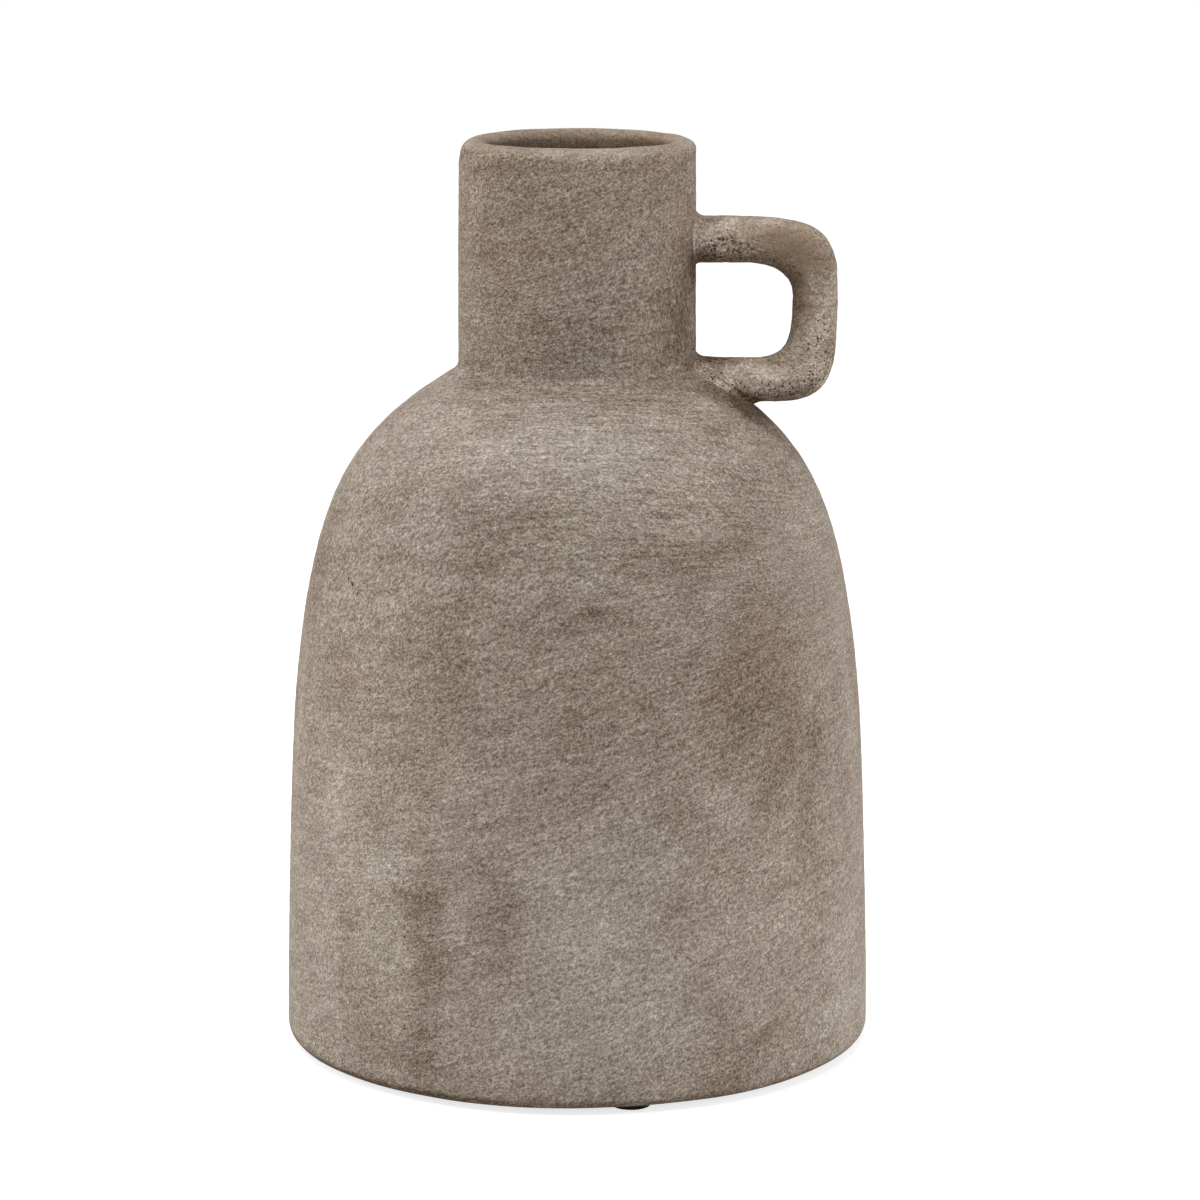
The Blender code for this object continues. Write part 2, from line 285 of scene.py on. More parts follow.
def raggedness(points: np.ndarray, swells: Sequence[tuple]) -> np.ndarray:
    """Shift each point by smooth random vectors, which roughens whatever is drawn there.

    Args:
        points: The points, one row each.
        swells: For each layer of noise its size, its longest shift and where in the noise it starts.

    Returns:
        The shifts, one row each.
    """
    noise.seed_set(NOISE_SEED)
    shifts = np.zeros_like(points)
    for size, height, offset in swells:
        start = Vector((offset, offset, offset))
        shifts += np.array([height * noise.noise_vector(Vector(point) / size + start) for point in points])
    return shifts


def join_rings(rings: Sequence[Outline], closed: bool = False) -> tuple:
    """Join rings of points with faces.

    Args:
        rings: The rings. Each has one point or as many as the longest.
        closed: Whether the last ring joins the first.

    Returns:
        All points in one row, and the faces as rows of point numbers.
    """
    points, starts, faces = [], [], []
    for ring in rings:
        starts.append(len(points))
        points += ring
    steps = max(len(ring) for ring in rings)
    count = len(rings)
    for index in range(count if closed else count - 1):
        after = (index + 1) % count
        low, high = starts[index], starts[after]
        for step in range(steps):
            follow = (step + 1) % steps
            if len(rings[index]) == 1:
                faces.append((low, high + follow, high + step))
            elif len(rings[after]) == 1:
                faces.append((low + step, low + follow, high))
            else:
                faces.append((low + step, low + follow, high + follow, high + step))
    return points, faces


def new_skin(name: str, points: Sequence, faces: Sequence, material: bpy.types.Material) -> Piece:
    """Make a smooth-shaded mesh object.

    Args:
        name: The object's name.
        points: Its points.
        faces: Its faces, as rows of point numbers.
        material: Its material.

    Returns:
        The object, linked to the scene.
    """
    mesh = bpy.data.meshes.new(name)
    mesh.from_pydata(points, [], faces)
    mesh.validate()
    mesh.shade_smooth()
    mesh.set_sharp_from_angle(angle=radians(50.0))
    mesh.materials.append(material)
    piece = bpy.data.objects.new(name, mesh)
    bpy.context.scene.collection.objects.link(piece)
    return piece


def point_rows(piece: Piece) -> np.ndarray:
    """The points of a mesh object, one row each."""
    return np.array([vertex.co[:] for vertex in piece.data.vertices])


def set_marks(piece: Piece, marks: dict) -> None:
    """Give each point of a mesh object its marks.

    Args:
        piece: The mesh object.
        marks: For each mark, one value for each point.
    """
    for mark, values in marks.items():
        attribute = piece.data.attributes.new(mark.value, "FLOAT", "POINT")
        attribute.data.foreach_set("value", values.astype(np.float32))


@dataclass(frozen=True)
class Patch:
    """A darker or lighter patch of slip, or of painted shade or light, placed on the vessel's wall. Lengths
    are millimetres.

    The angle runs round the axis from the front towards the handle, and the lean runs
    anticlockwise from level, both in degrees.
    """

    angle: float
    height: float
    length: float
    width: float
    lean: float
    tone: Tone

    depth: float = 26.0 * MM
    softness: float = 0.95

    def share(self, points: np.ndarray, ragged: np.ndarray, form_radius: Callable) -> np.ndarray:
        """How strongly each point takes this patch's tone.

        Args:
            points: The skin's points, one row each.
            ragged: A small shift of each point that roughens the patch's edge.
            form_radius: Gives the wall's radius at a height.

        Returns:
            A share from 0 to 1 for each point.
        """
        turn = radians(self.angle)
        height = self.height * MM
        out = np.array((sin(turn), -cos(turn), 0.0))
        level = np.array((cos(turn), sin(turn), 0.0))
        slope = (form_radius(height + MM) - form_radius(height - MM)) / (2 * MM)
        rise = np.array((0.0, 0.0, 1.0)) + out * slope
        rise /= np.linalg.norm(rise)
        middle = out * form_radius(height) + np.array((0.0, 0.0, height))
        offset = points + ragged - middle
        through = offset @ np.cross(level, rise)
        reach = oval(offset @ level, offset @ rise, self.lean, self.length, self.width)
        return np.exp(-self.softness * reach - (through / self.depth) ** 2)


@dataclass(frozen=True)
class Spot:
    """A soft spot on the handle, seen from the front. Lengths are millimetres.

    Its value is added to one mark of the skin's points.
    """

    x: float
    z: float
    length: float
    width: float
    lean: float
    value: float

    softness: float = 1.3

    def share(self, points: np.ndarray) -> np.ndarray:
        """How strongly each of the points, one row each, takes this spot's value."""
        right, rise = points[:, 0] - self.x * MM, points[:, 2] - self.z * MM
        return np.exp(-self.softness * oval(right, rise, self.lean, self.length, self.width))


@dataclass(frozen=True)
class Nick:
    """A small nick in the wall, placed like a patch. Its half-sizes are millimetres."""

    angle: float
    height: float
    lean: float
    half_length: float
    half_width: float = 0.46
    half_depth: float = 2.5

    def place(self, form_radius: Callable) -> Vector:
        """Give the nick's middle.

        Args:
            form_radius: Gives the wall's radius at a height.

        Returns:
            A point on the wall.
        """
        turn = radians(self.angle)
        radius = form_radius(self.height * MM)
        return Vector((radius * sin(turn), -radius * cos(turn), self.height * MM))

    def rotation(self) -> tuple:
        """Turn the nick's length into the wall and let it lean there, as XYZ angles."""
        return (0.0, -radians(self.lean), radians(self.angle))

    def size(self) -> tuple:
        """Give its half-length, half-depth and half-width, in metres."""
        return (self.half_length * MM, self.half_depth * MM, self.half_width * MM)


# Nicks on the left shoulder, as angle, height, lean, half-length and, for one, half-width

NICKS = (
    Nick(-57.9, 163.4, -30, 0.75),
    Nick(-56.0, 162.3, -33, 1.35),
    Nick(-53.4, 159.9, 62, 0.80, 0.38),
)


class NodeBoard:
    """The node tree of a material or of the world, with short calls for the nodes on it."""

    def __init__(self, owner: Union[bpy.types.Material, bpy.types.World]) -> None:
        """Clear a node tree and keep it.

        Args:
            owner: The material or the world that the tree belongs to.
        """
        owner.use_nodes = True
        self.tree = owner.node_tree
        self.tree.nodes.clear()

    def add(self, kind: str, feeds: Optional[dict] = None, **settings: object) -> bpy.types.Node:
        """Add a node.

        Args:
            kind: The node's type name, after the words that all of them start with.
            feeds: For inputs by name or number, another node's output to link or a value to set.
            **settings: Values for the node's own settings.

        Returns:
            The node.
        """
        node = self.tree.nodes.new("ShaderNode" + kind)
        for key, value in settings.items():
            setattr(node, key, value)
        for name, source in (feeds or {}).items():
            if isinstance(source, Socket):
                self.tree.links.new(source, node.inputs[name])
            else:
                node.inputs[name].default_value = source
        return node

    def math(self, operation: str, *values: Source) -> Socket:
        """Do a sum on values."""
        return self.add("Math", dict(enumerate(values)), operation=operation).outputs[0]

    def mark(self, mark: Mark) -> Socket:
        """Read one of the marks that the skin's points carry."""
        return self.add("Attribute", attribute_name=mark.value).outputs["Fac"]

    def position(self) -> Socket:
        """Read the point's place on the piece."""
        return self.add("TexCoord").outputs["Object"]

    def noise_field(self, place: Source, size: float, detail: float, roughness: float) -> bpy.types.Node:
        """Add a noise node whose swells and gaps together are this wide."""
        feeds = {"Vector": place, "Scale": 1.0 / size, "Detail": detail, "Roughness": roughness}
        return self.add("TexNoise", feeds)

    def noise(self, place: Source, size: float, detail: float = 2.0, roughness: float = 0.5) -> Socket:
        """Make smooth noise from 0 to 1, with this many finer layers of this strength."""
        return self.noise_field(place, size, detail, roughness).outputs["Fac"]

    def cells(self, place: Source, size: float) -> Socket:
        """Scatter centres and measure from the nearest, both as shares of the size."""
        return self.add("TexVoronoi", {"Vector": place, "Scale": 1.0 / size}).outputs["Distance"]

    def lozenge(self, centre: Vector, rotation: tuple, size: tuple) -> Socket:
        """Measure from the middle of a small stretched ball.

        Args:
            centre: The ball's middle.
            rotation: Its XYZ angles.
            size: Its three half-sizes.

        Returns:
            The distance's socket, 1 on the ball's skin.
        """
        feeds = {"Vector": self.position(), "Location": centre, "Rotation": rotation, "Scale": size}
        inner = self.add("Mapping", feeds, vector_type="TEXTURE").outputs["Vector"]
        return self.add("VectorMath", {0: inner}, operation="LENGTH").outputs["Value"]

    def step(self, value: Source, low: Source, high: Source) -> Socket:
        """Rise smoothly from 0 at one value to 1 at another, or fall if the first is larger."""
        feeds = {"Value": value, "From Min": low, "From Max": high}
        return self.add("MapRange", feeds, interpolation_type="SMOOTHSTEP").outputs["Result"]

    def swing(self, total: Source, layer: Source, amount: Source) -> Socket:
        """Add a layer of noise to a total, centred on nought and this strong."""
        return self.math("MULTIPLY_ADD", self.math("SUBTRACT", layer, 0.5), amount, total)

    def mix(self, share: Source, first: Source, second: Source, blend: str = "MIX") -> Socket:
        """Mix two colours, with this share of the second."""
        feeds = {0: share, 6: first, 7: second}
        return self.add("Mix", feeds, data_type="RGBA", blend_type=blend).outputs[2]

    def ramp(self, value: Source, stops: Sequence[tuple]) -> Socket:
        """Turn a value into a colour.

        Args:
            value: The value's socket.
            stops: Pairs of a place from 0 to 1 and a colour.

        Returns:
            The colour's socket.
        """
        node = self.add("ValToRGB", {"Fac": value})
        elements = node.color_ramp.elements
        while len(elements) < len(stops):
            elements.new(0.5)
        for element, (place, colour) in zip(elements, stops):
            element.position = place
            element.color = (*colour, 1.0)
        return node.outputs["Color"]

    def ragged(self, place: Source, size: float, reach: float) -> Socket:
        """Shift coordinates by smooth noise, which roughens whatever is drawn on them.

        Args:
            place: The coordinates' socket.
            size: The width of a swell of the noise and its gap.
            reach: How far the shifts go, from end to end.

        Returns:
            The shifted coordinates' socket.
        """
        shift = self.noise_field(place, size, 1.0, 0.5).outputs["Color"]
        feeds = {0: shift, 1: (reach, reach, reach), 2: place}
        return self.add("VectorMath", feeds, operation="MULTIPLY_ADD").outputs["Vector"]

    def bump(self, height: Source, distance: float) -> Socket:
        """Tilt the surface by a field of heights, 1 standing for this distance."""
        return self.add("Bump", {"Height": height, "Distance": distance, "Strength": 1.0}).outputs[0]

    def principled(self, feeds: dict) -> Socket:
        """Make the plain shader with these inputs."""
        return self.add("BsdfPrincipled", feeds).outputs[0]

    def lens_ray(self) -> Socket:
        """Tell the rays that show the background straight, in a mirror or through glass.

        Returns:
            The answer's socket, 1 for such a ray, else 0.
        """
        rays = self.add("LightPath").outputs
        seen = self.math("MAXIMUM", rays["Is Camera Ray"], rays["Is Glossy Ray"])
        return self.math("MAXIMUM", seen, rays["Is Transmission Ray"])


def linear(level: float) -> float:
    """Turn one displayed channel, from 0 to 255, into linear light."""
    share = level / 255.0
    return share / 12.92 if share <= 0.04045 else ((share + 0.055) / 1.055) ** 2.4


@dataclass(frozen=True)
class Finish:
    """A finish that is a material of its own."""

    name: str

    def shader(self, board: NodeBoard) -> Socket:
        """Build the finish's shader on a board and give its socket."""
        raise NotImplementedError

    def material(self) -> bpy.types.Material:
        """Make the finish's material.

        Returns:
            The material.
        """
        material = bpy.data.materials.new(self.name)
        board = NodeBoard(material)
        board.add("OutputMaterial", {"Surface": self.shader(board)})
        return material


@dataclass(frozen=True)
class SlipFinish(Finish):
    """The sandy grey-brown slip, driven by the marks on a skin's points.

    Tones and swings are displayed steps out of 255. A streaky layer's size is its length along
    the brush strokes and its width across them.
    """

    wall_radius: Callable
    middle: float = 131.0
    warmth: float = 13.2
    fade: float = 0.02
    darkest: float = 50.0
    lightest: float = 215.0
    colour_steps: int = 6
    tone_swing: float = 26.0
    mottle: float = 10.0
    mottle_size: float = 40.0 * MM
    cloud: float = 22.0
    cloud_size: tuple = (24.0 * MM, 8.0 * MM)
    blotch: float = 22.0
    blotch_size: tuple = (8.0 * MM, 2.6 * MM)
    streak: float = 52.0
    streak_size: tuple = (17.0 * MM, 0.95 * MM)
    sand: float = 54.0
    sand_size: tuple = (1.75 * MM, 1.10 * MM)
    grain: float = 100.0
    grain_size: tuple = (0.72 * MM, 0.60 * MM)
    pit_depth: float = 68.0
    pit_size: float = 1.35 * MM
    pit_reach: float = 0.29
    pit_rag: tuple = (0.9 * MM, 0.4 * MM)
    crowd_reach: float = 0.10
    crowd_size: float = 5.0 * MM
    crowd_span: tuple = (0.32, 0.66)
    nick_depth: float = 95.0
    speck_rise: float = 26.0
    speck_size: float = 1.5 * MM
    speck_span: tuple = (0.22, 0.10)
    pinhole_depth: float = 30.0
    pinhole_size: float = 1.3 * MM
    pinhole_span: tuple = (0.24, 0.12)
    drift_size: float = 42.0 * MM
    fleck_size: float = 3.0 * MM
    rosy: tuple = (1.0, 0.972, 1.0)
    olive: tuple = (1.0, 1.028, 1.0)
    warm: tuple = (1.015, 1.0, 0.982)
    cool: tuple = (0.985, 1.0, 1.018)
    pale: tuple = (0.965, 1.01, 1.045)
    brown: tuple = (1.07, 0.98, 0.905)
    plain: tuple = (1.0, 1.0, 1.0)
    rubbing: float = 0.8
    roughness: float = 0.93
    sheen: float = 0.2
    relief: float = 0.20 * MM
    streak_relief: float = 0.4
    pit_relief: float = 0.9
    nick_relief: float = 1.5

    def colour_stops(self) -> list:
        """The slip's colours from darkest to lightest, brown where dark and greyer where light.

        Returns:
            Pairs of a place from 0 to 1 and a colour.
        """
        stops = []
        for step in range(self.colour_steps + 1):
            place = step / self.colour_steps
            level = self.darkest + (self.lightest - self.darkest) * place
            warm = self.warmth + (self.middle - level) * self.fade
            stops.append((place, (linear(level + warm), linear(level), linear(level - warm))))
        return stops

    def strokes(self, board: NodeBoard, size: tuple, detail: float = 0.0, roughness: float = 0.5) -> Socket:
        """Make noise that is stretched along the brush strokes.

        Args:
            board: The material's nodes.
            size: The length and the width of a streak and its gap.
            detail: The number of finer layers.
            roughness: How strong the finer layers are.

        Returns:
            The noise's socket, from 0 to 1.
        """
        along, across = size
        x, y = board.add("SeparateXYZ", {0: board.position()}).outputs[:2]
        sides = [board.math("DIVIDE", value, along) for value in (x, y)]
        sides.append(board.math("DIVIDE", board.mark(Mark.STROKE), across))
        place = board.add("CombineXYZ", dict(enumerate(sides))).outputs[0]
        return board.noise(place, 1.0, detail, roughness)

    def pits(self, board: NodeBoard) -> Socket:
        """Small ragged pits, thicker where the skin is marked as pitted.

        Args:
            board: The material's nodes.

        Returns:
            The pits' socket, 1 inside a pit.
        """
        place = board.ragged(board.position(), *self.pit_rag)
        pitted = board.mark(Mark.PITTED)
        crowd = board.step(board.noise(board.position(), self.crowd_size, 1.0), *self.crowd_span)
        reach = board.math("MULTIPLY_ADD", crowd, self.crowd_reach, self.pit_reach)
        reach = board.math("MULTIPLY", pitted, reach)
        pits = board.step(board.cells(place, self.pit_size), reach, board.math("MULTIPLY", reach, 0.7))
        return board.math("MULTIPLY", pits, board.math("GREATER_THAN", pitted, 0.02))

    def nicks(self, board: NodeBoard) -> Socket:
        """The nicks on the shoulder.

        Args:
            board: The material's nodes.

        Returns:
            The nicks' socket, 1 inside a nick.
        """
        inside = 0.0
        for nick in NICKS:
            distance = board.lozenge(nick.place(self.wall_radius), nick.rotation(), nick.size())
            inside = board.math("MAXIMUM", inside, board.step(distance, 1.0, 0.8))
        return inside

    def level(self, board: NodeBoard, bare: Source, streaks: Source, grain: Source) -> Socket:
        """Add up the even layers of the slip's tone, before its pits and nicks.

        Args:
            board: The material's nodes.
            bare: How sandy the surface is, from 0 to 1.
            streaks: The brush's streaks.
            grain: The sand's finest grain.

        Returns:
            The tone's socket, in displayed steps.
        """
        place = board.position()
        level = board.math("MULTIPLY_ADD", board.mark(Mark.TONE), self.tone_swing, self.middle)
        layers = (
            (board.noise(place, self.mottle_size, 1.0), self.mottle),
            (self.strokes(board, self.cloud_size, 1.0), self.cloud),
            (self.strokes(board, self.blotch_size), self.blotch),
            (streaks, board.math("MULTIPLY", board.mark(Mark.BRUSHED), self.streak)),
            (self.strokes(board, self.sand_size), board.math("MULTIPLY", bare, self.sand)),
            (grain, board.math("MULTIPLY", bare, self.grain)),
        )
        for layer, amount in layers:
            level = board.swing(level, layer, amount)
        pinholes = board.step(board.cells(place, self.pinhole_size), *self.pinhole_span)
        level = board.math("MULTIPLY_ADD", pinholes, -self.pinhole_depth, level)
        specks = board.step(board.cells(place, self.speck_size), *self.speck_span)
        return board.math("MULTIPLY_ADD", board.math("MULTIPLY", specks, bare), self.speck_rise, level)

    def tinted(self, board: NodeBoard, colour: Source) -> Socket:
        """Let the hue drift between rosy and olive, and turn brown where the skin is marked so.

        Args:
            board: The material's nodes.
            colour: The colour's socket.

        Returns:
            The drifting colour's socket.
        """
        place = board.position()
        drift = board.noise(place, self.drift_size, 3.0, 0.6)
        fleck = board.noise(place, self.fleck_size, 2.0, 0.7)
        browned = board.math("MULTIPLY_ADD", board.mark(Mark.BROWNED), 0.5, 0.5)
        tints = (
            board.ramp(drift, [(0.30, self.rosy), (0.70, self.olive)]),
            board.ramp(fleck, [(0.30, self.warm), (0.70, self.cool)]),
            board.ramp(browned, [(0.0, self.pale), (0.5, self.plain), (1.0, self.brown)]),
        )
        for tint in tints:
            colour = board.mix(1.0, colour, tint, "MULTIPLY")
        return colour

    def shader(self, board: NodeBoard) -> Socket:
        """Build the slip's shader.

        Args:
            board: The material's nodes.

        Returns:
            The shader's socket.
        """
        bare = board.math("MULTIPLY_ADD", board.mark(Mark.RUBBED), -self.rubbing, 1.0)
        streaks = self.strokes(board, self.streak_size, 1.0, 0.6)
        grain = self.strokes(board, self.grain_size)
        pits, nicks = self.pits(board), self.nicks(board)
        level = self.level(board, bare, streaks, grain)
        level = board.math("MULTIPLY_ADD", pits, -self.pit_depth, level)
        level = board.math("MULTIPLY_ADD", nicks, -self.nick_depth, level)
        share = board.math("SUBTRACT", level, self.darkest)
        share = board.math("DIVIDE", share, self.lightest - self.darkest)

        height = board.math("MULTIPLY", grain, bare)
        brushed = board.math("MULTIPLY", board.mark(Mark.BRUSHED), self.streak_relief)
        height = board.math("MULTIPLY_ADD", streaks, brushed, height)
        height = board.math("MULTIPLY_ADD", pits, -self.pit_relief, height)
        height = board.math("MULTIPLY_ADD", nicks, -self.nick_relief, height)
        feeds = {
            "Base Color": self.tinted(board, board.ramp(share, self.colour_stops())),
            "Roughness": self.roughness,
            "Specular IOR Level": self.sheen,
            "Normal": board.bump(height, self.relief),
        }
        return board.principled(feeds)


@dataclass(frozen=True)
class RubberFinish(Finish):
    """Satin black rubber with the fine pebble of a moulded pad."""

    name: str = "satin_rubber"
    colour: tuple = (0.006, 0.006, 0.006, 1.0)
    worn: tuple = (0.011, 0.011, 0.010, 1.0)
    wear_size: float = 3.0 * MM
    wear_span: tuple = (0.45, 0.75)
    wear_roughness: float = 0.18
    roughness: float = 0.5
    sheen: float = 0.10
    pebble: float = 0.45 * MM
    relief: float = 0.05 * MM

    def shader(self, board: NodeBoard) -> Socket:
        """Build the rubber's shader.

        Args:
            board: The material's nodes.

        Returns:
            The shader's socket.
        """
        place = board.position()
        wear = board.step(board.noise(place, self.wear_size), *self.wear_span)
        feeds = {
            "Base Color": board.mix(wear, self.colour, self.worn),
            "Roughness": board.math("MULTIPLY_ADD", wear, self.wear_roughness, self.roughness),
            "Specular IOR Level": self.sheen,
            "Normal": board.bump(board.noise(place, self.pebble), self.relief),
        }
        return board.principled(feeds)


@dataclass(frozen=True)
class AdhesiveFinish(Finish):
    """Cloudy acrylic adhesive, a little yellow."""

    name: str = "cloudy_adhesive"
    colour: tuple = (0.60, 0.58, 0.52, 1.0)
    cloud: tuple = (0.72, 0.71, 0.67, 1.0)
    cloud_size: float = 2.0 * MM
    roughness: float = 0.35

    def shader(self, board: NodeBoard) -> Socket:
        """Build the adhesive's shader.

        Args:
            board: The material's nodes.

        Returns:
            The shader's socket.
        """
        clouds = board.noise(board.position(), self.cloud_size, 3.0, 0.6)
        colour = board.mix(clouds, self.colour, self.cloud)
        feeds = {"Base Color": colour, "Roughness": self.roughness}
        return board.principled(feeds)


@dataclass(frozen=True)
class FloorFinish(Finish):
    """A pale floor that shows white and keeps the vase's shadow."""

    name: str = "pale_floor"
    colour: tuple = (0.56, 0.56, 0.56, 1.0)
    cloud: tuple = (0.58, 0.58, 0.58, 1.0)
    cloud_size: float = 20.0 * MM
    glow: float = 0.74

    def shader(self, board: NodeBoard) -> Socket:
        """Build the floor's shader, which glows only where the lens sees it.

        Args:
            board: The material's nodes.

        Returns:
            The shader's socket.
        """
        clouds = board.noise(board.position(), self.cloud_size, 3.0, 0.6)
        matt = board.add("BsdfDiffuse", {"Color": board.mix(clouds, self.colour, self.cloud)})
        glow = board.add("Emission", {"Strength": board.math("MULTIPLY", board.lens_ray(), self.glow)})
        return board.add("AddShader", {0: matt.outputs[0], 1: glow.outputs[0]}).outputs[0]


@dataclass(frozen=True)
class VesselForm:
    """The thrown form of body and neck. Radii and heights at its ends come from the frame."""

    foot_radius: float
    foot_z: float
    collar_z: float
    neck_radius: float
    lip_z: float
    foot_edge: float = 3.6 * MM
    floor: float = 8.5 * MM
    floor_corner: float = 10.0 * MM
    wall: float = 7.0 * MM
    wall_lean: float = radians(0.8)
    wall_pull: float = 160.1 * MM
    shoulder_slope: float = radians(30.8)
    shoulder_pull: float = 55.8 * MM
    throat_fillet: float = 5.0 * MM
    throat_edge: float = 2.0 * MM
    collar: float = 8.0 * MM
    neck_wall: float = 8.4 * MM
    neck_taper: float = 0.3 * MM
    lip_rise: float = 4.0 * MM
    spigot: float = 5.0 * MM
    spigot_wall: float = 4.0 * MM
    outer_steps: int = 170
    inner_steps: int = 70
    foot_edge_steps: int = 8
    floor_corner_steps: int = 10
    throat_fillet_steps: int = 6
    throat_edge_steps: int = 5
    lip_steps: int = 20
    spacing: float = 1.5 * MM

    @classmethod
    def from_frame(cls) -> "VesselForm":
        """Read the form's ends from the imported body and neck.

        Returns:
            The form.
        """
        body_low, body_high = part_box(ClayNode.BODY.value)
        neck_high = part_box(ClayNode.NECK.value)[1]
        return cls(
            foot_radius=body_high.x,
            foot_z=body_low.z,
            collar_z=body_high.z,
            neck_radius=neck_high.x,
            lip_z=neck_high.z,
        )

    @property
    def bore(self) -> float:
        """The radius of the neck's bore."""
        return self.neck_radius - self.neck_wall

    @property
    def throat(self) -> Vector:
        """The corner where the shoulder's line would meet the neck."""
        return Vector((self.neck_radius, self.collar_z - self.collar))

    @property
    def spigot_z(self) -> float:
        """The height of the spigot's foot and of the collar's rebate."""
        return self.collar_z - self.spigot

    def shoulder_way(self) -> Vector:
        """The way the shoulder climbs where it reaches the throat."""
        return Vector((-cos(self.shoulder_slope), sin(self.shoulder_slope)))

    def round_reach(self, radius: float) -> float:
        """How far a rounding of this radius reaches from the corner of shoulder and upright."""
        return radius * tan((pi / 2 - self.shoulder_slope) / 2)

    def throat_round(self, radius: float, corner: Vector, count: int) -> Outline:
        """The rounding, in this many steps, that joins the shoulder to an upright at their corner."""
        centre = corner + Vector((radius, self.round_reach(radius)))
        return arc(centre, radius, -pi / 2 - self.shoulder_slope, -pi, count)

    def wall_curve(self, count: int) -> Outline:
        """The outer curve from above the foot's edge to the throat's rounding.

        Args:
            count: The number of steps.

        Returns:
            The points of the curve, from the foot up.
        """
        foot = Vector((self.foot_radius, self.foot_z + self.foot_edge))
        throat = self.throat - self.shoulder_way() * self.round_reach(self.throat_fillet)
        foot_pull = foot + self.wall_pull * Vector((-sin(self.wall_lean), cos(self.wall_lean)))
        throat_pull = throat - self.shoulder_pull * self.shoulder_way()
        return bezier(foot, foot_pull, throat_pull, throat, count)

    def body_outside(self) -> Outline:
        """The body's outer side.

        Returns:
            Its points, from the middle of the underside up to the collar's rim.
        """
        inset = self.foot_radius - self.foot_edge
        under = straight(Vector((0.0, self.foot_z)), Vector((inset, self.foot_z)), 2 * self.spacing)
        edge_centre = Vector((inset, self.foot_z + self.foot_edge))
        edge = arc(edge_centre, self.foot_edge, -pi / 2, 0.0, self.foot_edge_steps)
        wall = self.wall_curve(self.outer_steps)
        fillet = self.throat_round(self.throat_fillet, self.throat, self.throat_fillet_steps)
        rim = Vector((self.neck_radius, self.collar_z))
        collar = straight(fillet[-1], rim, self.spacing)
        return under + edge[:-1] + wall[:-1] + fillet[:-1] + collar + [rim]

    def body_inside(self) -> Outline:
        """The body's inner side.

        Returns:
            Its points, from the collar's rim down to the middle of the floor.
        """
        curve = self.wall_curve(self.inner_steps)
        floor_z = self.foot_z + self.floor
        corner_top = floor_z + self.floor_corner
        wall = []
        for index, point in enumerate(curve):
            along = curve[min(index + 1, len(curve) - 1)] - curve[max(index - 1, 0)]
            along.normalize()
            wall.append(point + self.wall * Vector((-along.y, along.x)))
        wall = [point for point in wall if point.y > corner_top]
        inset = wall[0].x - self.floor_corner
        floor = straight(Vector((0.0, floor_z)), Vector((inset, floor_z)), 3 * self.spacing)
        corner_centre = Vector((inset, corner_top))
        corner = arc(corner_centre, self.floor_corner, -pi / 2, 0.0, self.floor_corner_steps)
        reach = (wall[-1].x - self.bore) / cos(self.shoulder_slope)
        bore_corner = wall[-1] + self.shoulder_way() * reach
        throat = self.throat_round(self.throat_edge, bore_corner, self.throat_edge_steps)
        shoulder = straight(wall[-1], throat[0], 3 * self.spacing)[1:]
        upwards = floor + corner + wall + shoulder + throat + self.joint()
        return upwards[::-1]

    def joint(self) -> Outline:
        """The step where the neck's spigot sits in the collar's rebate.

        Returns:
            Its points, from the bore up to the collar's rim.
        """
        outer = self.bore + self.spigot_wall
        spots = ((self.bore, self.spigot_z), (outer, self.spigot_z), (outer, self.collar_z))
        return [Vector(spot) for spot in spots]

    def neck_loop(self) -> Outline:
        """The neck's closed outline.

        Returns:
            Its points, up the outer side, over the lip, down the bore and round the spigot.
        """
        half_lip = (self.neck_wall - self.neck_taper) / 2
        centre = Vector((self.bore + half_lip, self.lip_z - self.lip_rise))
        lip = []
        for step in range(self.lip_steps):
            angle = pi * step / self.lip_steps
            lip.append(centre + Vector((half_lip * cos(angle), self.lip_rise * sin(angle))))
        spigot = self.joint()
        outside = straight(Vector((self.neck_radius, self.collar_z)), lip[0], self.spacing)
        bore = straight(centre - Vector((half_lip, 0.0)), spigot[0], 2 * self.spacing)
        return outside + lip + bore + spigot


